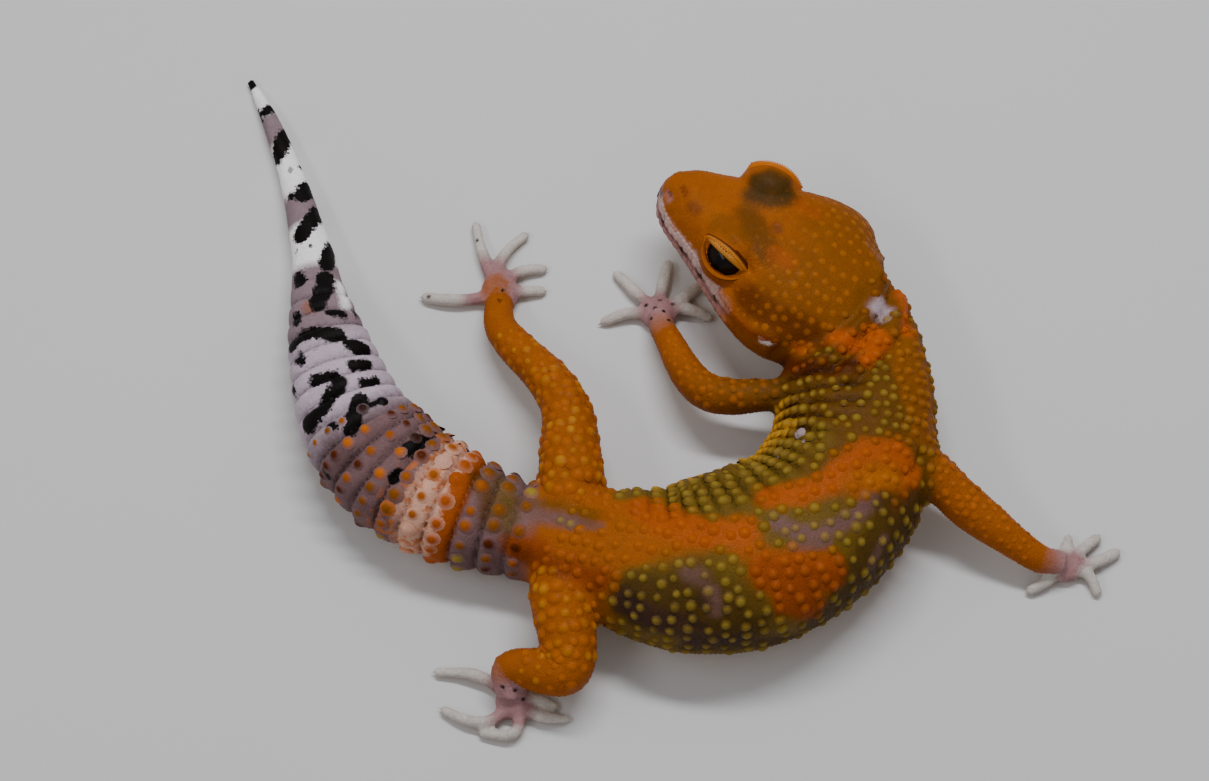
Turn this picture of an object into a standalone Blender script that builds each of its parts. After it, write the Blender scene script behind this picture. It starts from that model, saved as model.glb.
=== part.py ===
"""Leopard gecko, life size, lying still with its body curved round to its left.

Units are millimetres in the tables below and metres in Blender. +Z is up and the floor is z = 0.
The plan is laid out from the back of the head: distances along the spine count from there to the
tail's tip. Left and right are the animal's own.
"""

import math
import random

import bmesh
import bpy
from mathutils import Matrix, Vector

MM = 0.001
GAP = 0.3

# The middle of the finished animal's box, which becomes the origin
PLAN_MIDDLE = (-0.16, 3.31)

# Head, in its own frame: distance back from the snout's tip, half width, top and bottom about the mouth
HEAD_SNOUT = (-1.5, 24.2, 8.6)
HEAD_YAW = -32.0
HEAD_PITCH = 9.0
HEAD_ROLL = 13.0
HEAD_LENGTH = 26.0
HEAD_RINGS = (
    (0.0, 0.8, 1.7, -0.5),
    (0.7, 2.2, 2.9, -1.3),
    (2.5, 3.8, 3.9, -2.0),
    (5.0, 5.0, 4.5, -2.6),
    (8.0, 6.6, 5.3, -3.2),
    (10.5, 7.9, 5.9, -3.6),
    (14.0, 9.6, 6.2, -4.1),
    (17.5, 10.6, 6.3, -4.3),
    (20.5, 10.1, 6.0, -4.2),
    (23.5, 8.7, 5.4, -4.0),
    (26.0, 6.8, 4.6, -3.8),
)
HEAD_TAPER = 0.16
HEAD_STEP = 0.9
SNOUT_STEP = 0.5
UPPER_HEAD_SIDES = 20
LOWER_HEAD_SIDES = 8
UPPER_HEAD_SQUARENESS = (2.5, 2.3)
LOWER_HEAD_SQUARENESS = (2.4, 2.0)

# The line of the mouth is a groove between the lips, as far back as its corner
MOUTH_CORNER = 14.0
MOUTH_CORNER_FADE = 1.0
LIP_HEIGHT = 0.35
LIP_GROOVE = 0.4
LOWER_LIP_INSET = 0.15

# Swellings of the head: distance back, its reach, place across or up as a share, its reach, amount
BROW_SWELLING = (10.0, 3.4, 0.62, 0.22, 0.55)
CROWN_HOLLOW = (9.5, 4.0, 0.0, 0.3, 0.45)
CHEEK_HOLLOW = (12.0, 5.0, 0.25, 0.3, 0.05)
CROWN_FIRST_ROW = 13
CROWN_EDGE = 2

EYE_RADIUS = 2.5
EYE_PLACE = (10.2, 4.7, 2.9)
EYE_OUTWARD = (-0.12, 0.78, 0.62)
LID_THICKNESS = 0.45
LID_OPENING = (2.4, 1.4)
LID_OPENING_DEPTH = 2.2
LID_RIM = 0.4
LID_SINK = 0.6
NOSTRIL_PLACE = (1.2, 1.95, 2.35)
NOSTRIL_RADIUS = 0.5
EAR_PLACE = (20.0, 10.0, 0.2)
EAR_SIZE = (0.75, 1.3, 1.25)
EAR_OUTWARD = (0.25, 1.0, 0.1)
BALL_SEGMENTS = (18, 10)
EYE_SEGMENTS = (16, 10)
LID_SEGMENTS = (20, 6)

# Spine: the stretches of the body with their length and how far they turn, in degrees
SPINE_START = (15.1, 11.9)
SPINE_HEADING = -49.5
SPINE_RUNS = (
    ("nape", 7.6, -31.5),
    ("shoulders", 5.0, -7.0),
    ("ribs", 5.3, -15.0),
    ("belly", 26.8, -91.5),
    ("loins", 6.3, -6.0),
    ("hips", 8.0, 5.0),
    ("tail root", 9.1, -11.0),
    ("tail bend", 15.1, -43.5),
    ("tail middle", 15.7, -11.5),
    ("tail end", 26.2, 18.0),
)
SPINE_STEP = 0.1

# The neck's first section faces the head, and the rest turn to face along the spine
NECK_START = 2.0
NECK_SKEW = 18.0
NECK_SKEW_END = 9.0
NAPE_CUT_SIZE = 40.0
NAPE_CUT_HEIGHT = 5.0

# Trunk and tail: distance along the spine, half width, height of the back, height of the underside
BODY_STATIONS = (
    (2.0, 7.9, 9.7, 0.7),
    (5.0, 7.9, 9.9, 0.6),
    (8.0, 7.9, 10.6, 0.4),
    (11.0, 8.1, 11.5, 0.2),
    (14.0, 8.2, 12.2, 0.0),
    (18.5, 8.5, 12.9, -0.5),
    (27.0, 8.9, 13.6, -0.6),
    (35.5, 9.1, 13.8, -0.6),
    (42.0, 8.5, 13.2, -0.5),
    (48.5, 7.0, 11.9, -0.3),
    (52.5, 5.8, 10.6, -0.3),
    (58.5, 4.7, 9.2, -0.3),
    (64.5, 5.3, 9.6, -0.3),
    (69.5, 5.9, 10.0, -0.3),
    (76.5, 6.0, 9.8, -0.3),
    (82.5, 5.3, 8.7, -0.3),
    (91.0, 4.0, 6.9, -0.2),
    (98.5, 2.7, 4.9, -0.2),
    (105.0, 1.9, 3.6, -0.15),
    (110.5, 1.5, 2.8, -0.1),
    (116.5, 1.1, 2.1, -0.1),
    (121.0, 0.85, 1.65, -0.1),
    (125.1, 0.45, 1.0, -0.1),
)
BODY_ROUNDNESS = 2.3
TRUNK_RING_STEP = 1.05
TRUNK_NODES = (
    ("neck", NECK_START, 8.0),
    ("chest", 8.0, 18.0),
    ("belly", 18.0, 39.0),
    ("loins", 39.0, 50.0),
)
TRUNK_SIDES = 40
WHORL_LENGTH = 2.35
WHORL_SHAPE = ((0.0, 0.955), (0.32, 1.015), (0.74, 1.02))
WHORL_CREST = 2
TAIL_TIP_SWELL = 0.6
TAIL_NODES = (
    ("hips", 50.0, 4, 28),
    ("tail_root", 59.4, 6, 28),
    ("tail_bend", 73.5, 6, 24),
    ("tail_middle", 87.6, 7, 18),
    ("tail_end", 104.05, 9, 10),
)
CREASE_FROM, CREASE_TO, CREASE_DEPTH = 18.0, 46.0, 0.035
CREASE_LENGTH = 2.1

# Tubercles
TUBERCLE_HEIGHT = 0.55
TAIL_TUBERCLE_HEIGHT = 0.4
HEAD_TUBERCLE_HEIGHT = 0.28
LIMB_TUBERCLE_HEIGHT = 0.35
TUBERCLE_VARIATION = (0.8, 1.2)
STEEPEST_TUBERCLE = 0.6
TUBERCLE_SEED = 11
LIMB_CLEARANCE = 4.6
LIMB_TOP_RISE = 0.3

# Limbs: the points of each, root first, and the radius at each, then the palm as its middle and its
# half sizes, and each toe as its tip and how far it bends to the side as a share of its length
LIMB_STEP = 1.5
LIMB_SIDES = 12
JOINT_OVERRUN = 1.5
TANGENT_REACH = 0.3
TORSO_CUT_SWELL = 1.035
TORSO_CUT_END = 72.0
PALM_SEGMENTS = (14, 8)
LIMBS = {
    "front_left": {
        "parts": ("upper_arm", "forearm", "hand"),
        "points": (
            (16.4, -0.6, 7.0),
            (12.0, 0.9, 7.2),
            (3.2, 2.0, 5.6),
            (-1.1, 9.9, 2.9),
            (-1.7, 12.6, 1.6),
        ),
        "radii": (2.2, 1.7, 1.95, 1.4, 1.3),
        "palm": ((-1.8, 13.2, 0.9), (2.0, 1.9, 1.15)),
        "digits": (
            ((3.5, 12.9), 0.13),
            ((2.5, 16.5), -0.03),
            ((-0.7, 19.1), 0.02),
            ((-6.1, 17.9), 0.01),
            ((-7.5, 12.4), -0.08),
        ),
    },
    "front_right": {
        "parts": ("upper_arm", "forearm", "hand"),
        "points": (
            (20.4, -3.6, 7.0),
            (25.2, -7.0, 7.2),
            (30.3, -11.1, 5.2),
            (37.2, -15.5, 2.8),
            (39.8, -15.7, 1.6),
        ),
        "radii": (2.6, 2.35, 2.2, 1.5, 1.3),
        "palm": ((40.2, -15.5, 0.9), (2.1, 1.9, 1.15)),
        "digits": (
            ((40.7, -12.5), 0.02),
            ((43.6, -12.5), 0.0),
            ((45.5, -14.1), -0.11),
            ((43.4, -18.3), 0.18),
            ((36.6, -18.2), 0.05),
        ),
    },
    "hind_left": {
        "parts": ("thigh", "shank", "foot"),
        "points": (
            (-11.2, -13.5, 6.0),
            (-10.9, -8.5, 7.0),
            (-11.9, 1.0, 5.8),
            (-18.3, 10.3, 2.9),
            (-18.8, 14.4, 1.6),
        ),
        "radii": (3.3, 3.4, 2.45, 1.75, 1.45),
        "palm": ((-18.6, 15.6, 0.9), (2.0, 2.6, 1.2)),
        "digits": (
            ((-14.3, 16.0), 0.0),
            ((-14.2, 18.6), 0.18),
            ((-16.1, 22.5), 0.17),
            ((-21.3, 23.7), 0.04),
            ((-26.5, 15.2), 0.08),
        ),
    },
    "hind_right": {
        "parts": ("thigh", "shank", "foot"),
        "points": (
            (-11.8, -16.5, 5.6),
            (-11.9, -21.0, 6.3),
            (-11.4, -28.6, 5.0),
            (-17.1, -27.9, 3.6),
            (-17.0, -30.2, 1.8),
        ),
        "radii": (3.2, 3.25, 2.55, 1.8, 1.4),
        "palm": ((-16.5, -30.6, 0.9), (2.2, 1.9, 1.15)),
        "digits": (
            ((-12.8, -30.9), 0.1),
            ((-11.5, -32.3), -0.12),
            ((-19.8, -33.8), 0.5),
            ((-23.8, -31.4), 0.24),
            ((-24.5, -27.2), -0.12),
        ),
    },
}
DIGIT_RADII = (0.72, 0.62, 0.6, 0.55, 0.38)
DIGIT_ARCH = 0.4
DIGIT_HEIGHT = 0.55
DIGIT_TIP_HEIGHT = 0.45
DIGIT_ROOT_SHARE = 0.25
DIGIT_SIDES = 8
CLAW_LENGTH = 0.55
CLAW_SUNK = 0.4
CLAW_RADIUS = 0.2
CLAW_TIP_RADIUS = 0.06
CLAW_SIDES = 6
FLOOR_CUT_SIZE = 200.0
WELD_DISTANCE = 0.01

# Colour and roughness of each part, by the start or the end of its name
SKIN = (
    ("head", (0.46, 0.20, 0.045), 0.50),
    ("eye", (0.02, 0.018, 0.015), 0.08),
    ("tail_root", (0.40, 0.22, 0.15), 0.55),
    ("tail_bend", (0.40, 0.22, 0.15), 0.55),
    ("tail", (0.55, 0.50, 0.53), 0.55),
    ("hand", (0.50, 0.42, 0.42), 0.50),
    ("foot", (0.50, 0.42, 0.42), 0.50),
    ("front", (0.50, 0.20, 0.03), 0.55),
    ("hind", (0.50, 0.20, 0.03), 0.55),
    ("", (0.42, 0.20, 0.04), 0.55),
)
SHARP_ANGLE = 50.0


def clear_scene():
    for obj in list(bpy.data.objects):
        bpy.data.objects.remove(obj, do_unlink=True)


def new_collection(name, hidden=False):
    collection = bpy.data.collections.new(name)
    bpy.context.scene.collection.children.link(collection)
    collection.hide_render = hidden
    return collection


def paint(obj):
    fits = [skin for skin in SKIN if obj.name.startswith(skin[0]) or obj.name.endswith(skin[0])]
    _, color, roughness = fits[0]
    material = bpy.data.materials.new(obj.name)
    material.use_nodes = True
    shader = material.node_tree.nodes["Principled BSDF"]
    shader.inputs["Base Color"].default_value = (*color, 1.0)
    shader.inputs["Roughness"].default_value = roughness
    shader.inputs["Metallic"].default_value = 0.0
    obj.data.materials.clear()
    obj.data.materials.append(material)


def hermite(stations, at):
    """The columns of a table of stations, read smoothly at one place along its first column."""
    if at <= stations[0][0]:
        return stations[0][1:]
    if at >= stations[-1][0]:
        return stations[-1][1:]
    i = max(k for k in range(len(stations) - 1) if stations[k][0] <= at)
    before = stations[max(i - 1, 0)]
    start, end = stations[i], stations[i + 1]
    after = stations[min(i + 2, len(stations) - 1)]
    span = end[0] - start[0]
    t = (at - start[0]) / span
    values = []
    for column in range(1, len(start)):
        slope_in = (end[column] - before[column]) / (end[0] - before[0]) * span
        slope_out = (after[column] - start[column]) / (after[0] - start[0]) * span
        values.append(
            (2 * t**3 - 3 * t**2 + 1) * start[column]
            + (t**3 - 2 * t**2 + t) * slope_in
            + (3 * t**2 - 2 * t**3) * end[column]
            + (t**3 - t**2) * slope_out
        )
    return values


def walk_spine():
    """Points of the spine at even steps, each with its direction of travel in radians."""
    turns = []
    for _, length, turn in SPINE_RUNS:
        steps = round(length / SPINE_STEP)
        turns += [math.radians(turn) / steps] * steps
    x, y = SPINE_START
    heading = math.radians(SPINE_HEADING)
    path = [(x, y, heading)]
    for turn in turns:
        heading += turn
        x += SPINE_STEP * math.cos(heading)
        y += SPINE_STEP * math.sin(heading)
        path.append((x, y, heading))
    return path


SPINE = walk_spine()
SPINE_LENGTH = (len(SPINE) - 1) * SPINE_STEP


def spine(s):
    i = min(max(s / SPINE_STEP, 0.0), len(SPINE) - 1.001)
    low = int(i)
    share = i - low
    return [a + (b - a) * share for a, b in zip(SPINE[low], SPINE[low + 1])]


def section_frame(s):
    """A section's place and the direction that it faces, which the neck's skew turns from the spine's."""
    x, y, heading = spine(s)
    skew = max(0.0, 1 - (s - NECK_START) / (NECK_SKEW_END - NECK_START))
    return x, y, heading + math.radians(NECK_SKEW) * min(skew, 1.0)


def body_point(s, angle, swell=1.0, grow=0.0, floor=0.0):
    """A point of the trunk's or the tail's skin: angle 0 is the left side and 90 degrees the back."""
    x, y, heading = section_frame(s)
    half_width, back, underside = hermite(BODY_STATIONS, s)
    power = 2.0 / BODY_ROUNDNESS
    side = math.copysign(abs(math.cos(angle)) ** power, math.cos(angle))
    rise = math.copysign(abs(math.sin(angle)) ** power, math.sin(angle))
    across = (half_width * swell + grow) * side
    if CREASE_FROM < s < CREASE_TO and side > 0:
        across *= 1.0 - CREASE_DEPTH * side * crease(s)
    z = (back + underside) / 2 + ((back - underside) / 2 * swell + grow) * rise
    left = Vector((math.sin(heading), -math.cos(heading)))
    return Vector((x + left.x * across, y + left.y * across, max(z, floor)))


def crease(s):
    return 0.5 - 0.5 * math.cos(2 * math.pi * (s - CREASE_FROM) / CREASE_LENGTH)


def mesh_object(name, bm, collection):
    bmesh.ops.recalc_face_normals(bm, faces=bm.faces)
    mesh = bpy.data.meshes.new(name)
    bm.to_mesh(mesh)
    bm.free()
    obj = bpy.data.objects.new(name, mesh)
    collection.objects.link(obj)
    return obj


def loft(rings):
    """A closed skin through rings of points, in millimetres, with a flat face at each end."""
    bm = bmesh.new()
    loops = [[bm.verts.new(Vector(point) * MM) for point in ring] for ring in rings]
    count = len(loops[0])
    for lower, upper in zip(loops, loops[1:]):
        for k in range(count):
            bm.faces.new((lower[k], lower[(k + 1) % count], upper[(k + 1) % count], upper[k]))
    bm.faces.new(loops[0])
    bm.faces.new(loops[-1])
    bmesh.ops.recalc_face_normals(bm, faces=bm.faces)
    return bm, loops


def raise_tubercles(bm, verts, height):
    """Each of these points of the skin is drawn out into a low tubercle."""
    draw = random.Random(TUBERCLE_SEED)
    bm.normal_update()
    moves = []
    for vert in verts:
        shortest = min(edge.calc_length() for edge in vert.link_edges) / MM
        tall = min(height, STEEPEST_TUBERCLE * shortest) * draw.uniform(*TUBERCLE_VARIATION)
        moves.append((vert, vert.normal * tall * MM))
    for vert, move in moves:
        vert.co += move


def far_from_limbs(place):
    return all(math.dist(place, limb["points"][1]) > LIMB_CLEARANCE for limb in LIMBS.values())


def staggered(rings, first_row, wanted):
    """Every second point of every second ring, the rows set half a step apart."""
    chosen = []
    for i in range(first_row, len(rings) - 1, 2):
        for k in range((i // 2) % 2, len(rings[i]), 2):
            if wanted(k, rings[i][k].co / MM):
                chosen.append(rings[i][k])
    return chosen


def build_trunk_node(name, start, end, collection):
    first, last = start + GAP / 2, end - GAP / 2
    steps = 2 * max(1, round((last - first) / TRUNK_RING_STEP / 2))
    angles = [2 * math.pi * k / TRUNK_SIDES for k in range(TRUNK_SIDES)]
    rings = []
    for i in range(steps + 1):
        s = first + (last - first) * i / steps
        rings.append([body_point(s, angle) for angle in angles])
    bm, loops = loft(rings)
    on_back = staggered(loops, 1, lambda k, place: k <= TRUNK_SIDES / 2 and far_from_limbs(place))
    raise_tubercles(bm, on_back, TUBERCLE_HEIGHT)
    mesh_object(name, bm, collection)


def build_tail_node(name, start, whorls, sides, collection):
    angles = [2 * math.pi * k / sides for k in range(sides)]
    tapers_off = name == TAIL_NODES[-1][0]
    end = SPINE_LENGTH if tapers_off else start + whorls * WHORL_LENGTH - GAP / 2
    end_swell = TAIL_TIP_SWELL if tapers_off else WHORL_SHAPE[0][1]
    rings = []
    for whorl in range(whorls):
        for share, swell in WHORL_SHAPE:
            s = start + (whorl + share) * WHORL_LENGTH
            if not rings:
                s += GAP / 2
            rings.append([body_point(s, angle, swell) for angle in angles])
    rings.append([body_point(end, angle, end_swell) for angle in angles])
    bm, loops = loft(rings)
    crests = []
    for whorl in range(whorls):
        crest = loops[len(WHORL_SHAPE) * whorl + WHORL_CREST]
        for k in range(whorl % 2, sides // 2 + 1, 2):
            if not tapers_off and far_from_limbs(crest[k].co / MM):
                crests.append(crest[k])
    raise_tubercles(bm, crests, TAIL_TUBERCLE_HEIGHT)
    mesh_object(name, bm, collection)


def head_axes():
    yaw, pitch, roll = (math.radians(angle) for angle in (HEAD_YAW, HEAD_PITCH, HEAD_ROLL))
    back = Vector((math.cos(yaw) * math.cos(pitch), math.sin(yaw) * math.cos(pitch), -math.sin(pitch)))
    level_left = back.cross(Vector((0, 0, 1))).normalized()
    level_up = level_left.cross(back).normalized()
    left = level_left * math.cos(roll) + level_up * math.sin(roll)
    up = level_up * math.cos(roll) - level_left * math.sin(roll)
    return back, left, up


HEAD_BACK, HEAD_LEFT, HEAD_UP = head_axes()


def head_place(behind, across, above):
    return Vector(HEAD_SNOUT) + HEAD_BACK * behind + HEAD_LEFT * across + HEAD_UP * above


def head_direction(behind, across, above):
    return (HEAD_BACK * behind + HEAD_LEFT * across + HEAD_UP * above).normalized()


def bump(distance, reach):
    return math.exp(-((distance / reach) ** 2))


def swelling(shape, behind, share):
    """How strong one of the head's swellings or hollows is at a place."""
    middle, reach, middle_share, share_reach, amount = shape
    return amount * bump(behind - middle, reach) * bump(share - middle_share, share_reach)


def signed_power(value, squareness):
    return math.copysign(abs(value) ** (2 / squareness), value)


def head_ring(behind):
    """One section of the head, from the left lip over the crown to the right lip and back under the jaw."""
    half_width, top, bottom = hermite(HEAD_RINGS, behind)
    mouth = min(1.0, max(0.0, 1 - (behind - MOUTH_CORNER) / MOUTH_CORNER_FADE))
    points = []
    for k in range(UPPER_HEAD_SIDES + 1):
        angle = math.pi * k / UPPER_HEAD_SIDES
        side = signed_power(math.cos(angle), UPPER_HEAD_SQUARENESS[0])
        rise = signed_power(math.sin(angle), UPPER_HEAD_SQUARENESS[1])
        across = half_width * side * (1 - HEAD_TAPER * rise)
        above = LIP_HEIGHT * min(1.0, behind) * (1 - rise) + top * rise
        above += swelling(BROW_SWELLING, behind, abs(side)) - swelling(CROWN_HOLLOW, behind, side)
        across *= 1 - swelling(CHEEK_HOLLOW, behind, rise)
        points.append((across, above))
    groove = LIP_GROOVE * mouth
    points.append((-(half_width - groove), 0.0))
    for k in range(LOWER_HEAD_SIDES + 1):
        angle = math.pi + math.pi * k / LOWER_HEAD_SIDES
        side = signed_power(math.cos(angle), LOWER_HEAD_SQUARENESS[0])
        rise = -signed_power(math.sin(angle), LOWER_HEAD_SQUARENESS[1])
        across = (half_width - LOWER_LIP_INSET * mouth) * side
        above = -LIP_HEIGHT * min(1.0, behind + SNOUT_STEP) * (1 - rise) + bottom * rise
        points.append((across, above))
    points.append((half_width - groove, 0.0))
    return [head_place(behind, across, above) for across, above in points]


def on_side(place, side):
    """One of the head's places or directions, on its left with side 1 or on its right with side -1."""
    return place[0], place[1] * side, place[2]


def build_head(collection, cutters):
    steps = round(HEAD_LENGTH / HEAD_STEP)
    places = [HEAD_LENGTH * i / steps for i in range(steps + 1)]
    places.insert(1, SNOUT_STEP)
    bm, loops = loft([head_ring(behind) for behind in places])
    last_side = UPPER_HEAD_SIDES - CROWN_EDGE
    crown = staggered(loops, CROWN_FIRST_ROW, lambda k, place: CROWN_EDGE <= k <= last_side)
    raise_tubercles(bm, crown, HEAD_TUBERCLE_HEIGHT)
    head = mesh_object("head", bm, collection)

    pieces = new_collection("head_pieces", hidden=True)
    holes = new_collection("head_holes", hidden=True)
    for side in (1, -1):
        eye = head_place(*on_side(EYE_PLACE, side))
        outward = head_direction(*on_side(EYE_OUTWARD, side))
        add_ball(pieces, eye, EYE_RADIUS + LID_THICKNESS + GAP)
        add_lid_rim(pieces, eye, outward)
        add_ball(holes, eye, EYE_RADIUS + GAP)
        opening = eye + outward * (EYE_RADIUS + LID_SINK)
        add_ball(holes, opening, 1.0, (*LID_OPENING, LID_OPENING_DEPTH), outward)
        add_ball(holes, head_place(*on_side(NOSTRIL_PLACE, side)), NOSTRIL_RADIUS)
        ear = head_place(*on_side(EAR_PLACE, side))
        add_ball(holes, ear, 1.0, EAR_SIZE, head_direction(*on_side(EAR_OUTWARD, side)))
    combine(head, pieces, "UNION")
    combine(head, holes, "DIFFERENCE")
    subtract(head, nape_cut(cutters))
    keep_largest(head)


def nape_cut(collection):
    """A box whose front face lies half a gap before the neck's first section."""
    x, y, heading = section_frame(NECK_START)
    ahead = Vector((math.cos(heading), math.sin(heading), 0.0)) * (NAPE_CUT_SIZE - GAP) / 2
    box = cutting_box("nape_cut", NAPE_CUT_SIZE, collection)
    box.location = (Vector((x, y, NAPE_CUT_HEIGHT)) + ahead) * MM
    box.rotation_euler.z = heading
    return box


def cutting_box(name, size, collection):
    bm = bmesh.new()
    bmesh.ops.create_cube(bm, size=size * MM)
    box = mesh_object(name, bm, collection)
    box.display_type = "WIRE"
    return box


def subtract(obj, cutter):
    cut = obj.modifiers.new(cutter.name, "BOOLEAN")
    cut.operation = "DIFFERENCE"
    cut.object = cutter
    apply_modifiers(obj)


def outward_frame(center, outward):
    """A matrix at a point of the head, its Z pointing outward and its X along the head."""
    along = (HEAD_BACK - outward * HEAD_BACK.dot(outward)).normalized()
    across = outward.cross(along)
    rotation = Matrix((along, across, outward)).transposed().to_4x4()
    return Matrix.Translation(center * MM) @ rotation


def add_ball(collection, center, radius, stretch=(1.0, 1.0, 1.0), outward=HEAD_UP):
    bm = bmesh.new()
    bmesh.ops.create_uvsphere(
        bm, u_segments=BALL_SEGMENTS[0], v_segments=BALL_SEGMENTS[1], radius=radius * MM
    )
    bmesh.ops.scale(bm, vec=stretch, verts=bm.verts)
    bmesh.ops.transform(bm, matrix=outward_frame(center, outward), verts=bm.verts)
    mesh_object("ball", bm, collection)


def add_lid_rim(collection, center, outward):
    """A thick elliptical ring, the margin of the two lids."""
    bpy.ops.mesh.primitive_torus_add(
        major_segments=LID_SEGMENTS[0],
        minor_segments=LID_SEGMENTS[1],
        major_radius=LID_OPENING[0] * MM,
        minor_radius=LID_RIM * MM,
    )
    rim = bpy.context.object
    for owner in list(rim.users_collection):
        owner.objects.unlink(rim)
    collection.objects.link(rim)
    squeeze = Matrix.Diagonal((1.0, LID_OPENING[1] / LID_OPENING[0], 1.0, 1.0))
    lift = Matrix.Translation((0, 0, (EYE_RADIUS - LID_SINK) * MM))
    rim.data.transform(outward_frame(center, outward) @ lift @ squeeze)


def build_eye(name, side, collection):
    bm = bmesh.new()
    bmesh.ops.create_uvsphere(
        bm, u_segments=EYE_SEGMENTS[0], v_segments=EYE_SEGMENTS[1], radius=EYE_RADIUS * MM
    )
    center = head_place(*on_side(EYE_PLACE, side))
    bmesh.ops.transform(bm, matrix=Matrix.Translation(center * MM), verts=bm.verts)
    mesh_object(name, bm, collection)


def apply_modifiers(obj):
    bpy.context.view_layer.update()
    graph = bpy.context.evaluated_depsgraph_get()
    mesh = bpy.data.meshes.new_from_object(obj.evaluated_get(graph))
    obj.modifiers.clear()
    old = obj.data
    obj.data = mesh
    bpy.data.meshes.remove(old)


def combine(obj, pieces, operation):
    """Joins a collection's objects to one, or cuts them from it, and removes them."""
    boolean = obj.modifiers.new("pieces", "BOOLEAN")
    boolean.operation = operation
    boolean.operand_type = "COLLECTION"
    boolean.collection = pieces
    apply_modifiers(obj)
    for piece in list(pieces.objects):
        bpy.data.objects.remove(piece, do_unlink=True)
    bpy.data.collections.remove(pieces)


def keep_largest(obj):
    """Keeps the largest closed surface of a mesh."""
    bm = bmesh.new()
    bm.from_mesh(obj.data)
    left = set(bm.verts)
    islands = []
    while left:
        stack = [left.pop()]
        island = set(stack)
        while stack:
            for edge in stack.pop().link_edges:
                for vert in edge.verts:
                    if vert in left:
                        left.remove(vert)
                        island.add(vert)
                        stack.append(vert)
        islands.append(island)
    islands.sort(key=box_size)
    for island in islands[:-1]:
        bmesh.ops.delete(bm, geom=list(island), context="VERTS")
    bm.to_mesh(obj.data)
    bm.free()


def box_size(verts):
    spans = [max(v.co[i] for v in verts) - min(v.co[i] for v in verts) for i in range(3)]
    return spans[0] * spans[1] * spans[2]


def limb_path(points):
    """A limb's points as stations, each led by its distance from the root along the straight runs."""
    stations = []
    total = 0.0
    for i, point in enumerate(points):
        total += math.dist(point, points[i - 1]) if i else 0.0
        stations.append((total, *point))
    return stations


def tube(name, stations, radii, start, end, collection, sides, bumps=None):
    """A tapered tube along a smooth path, flat at both ends. The test bumps tells where tubercles grow."""
    steps = max(2, round((end - start) / LIMB_STEP))
    curve = bpy.data.curves.new(name, "CURVE")
    curve.dimensions = "3D"
    curve.bevel_depth = MM
    curve.bevel_resolution = sides // 2 - 2
    curve.use_fill_caps = True
    spline = curve.splines.new("POLY")
    spline.points.add(steps)
    for i, point in enumerate(spline.points):
        at = start + (end - start) * i / steps
        point.co = (*(Vector(hermite(stations, at)) * MM), 1.0)
        point.radius = hermite(radii, at)[0]
    guide = bpy.data.objects.new(name, curve)
    bpy.context.scene.collection.objects.link(guide)
    bpy.context.view_layer.update()
    mesh = bpy.data.meshes.new_from_object(guide.evaluated_get(bpy.context.evaluated_depsgraph_get()))
    bpy.data.objects.remove(guide, do_unlink=True)
    bm = bmesh.new()
    bm.from_mesh(mesh)
    bpy.data.meshes.remove(mesh)
    if bumps:
        bm.verts.ensure_lookup_table()
        rings = [[bm.verts[i * sides + k] for k in range(sides)] for i in range(steps + 1)]
        raise_tubercles(bm, staggered(rings, 1, lambda k, place: bumps(place)), LIMB_TUBERCLE_HEIGHT)
    bmesh.ops.remove_doubles(bm, verts=bm.verts, dist=WELD_DISTANCE * MM)
    return mesh_object(name, bm, collection)


def torso_copy(collection):
    """The trunk and the tail's root, grown by the gap, to cut the limbs' roots."""
    angles = [2 * math.pi * k / TRUNK_SIDES for k in range(TRUNK_SIDES)]
    rings = []
    s = NECK_START
    while s < TORSO_CUT_END:
        rings.append([body_point(s, angle, TORSO_CUT_SWELL, GAP, -GAP) for angle in angles])
        s += 2 * TRUNK_RING_STEP
    bm, _ = loft(rings)
    torso = mesh_object("torso_cut", bm, collection)
    torso.display_type = "WIRE"
    return torso


def trim(obj, place, direction, keep_before):
    """Cuts a mesh flat across a place, half a gap short of it, and closes the cut."""
    shift = -GAP / 2 if keep_before else GAP / 2
    bm = bmesh.new()
    bm.from_mesh(obj.data)
    cut = bmesh.ops.bisect_plane(
        bm,
        geom=[*bm.verts, *bm.edges, *bm.faces],
        plane_co=(place + direction * shift) * MM,
        plane_no=direction,
        clear_outer=keep_before,
        clear_inner=not keep_before,
    )
    rim = [item for item in cut["geom_cut"] if isinstance(item, bmesh.types.BMEdge)]
    bmesh.ops.edgeloop_fill(bm, edges=rim)
    bmesh.ops.recalc_face_normals(bm, faces=bm.faces)
    bm.to_mesh(obj.data)
    bm.free()


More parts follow.
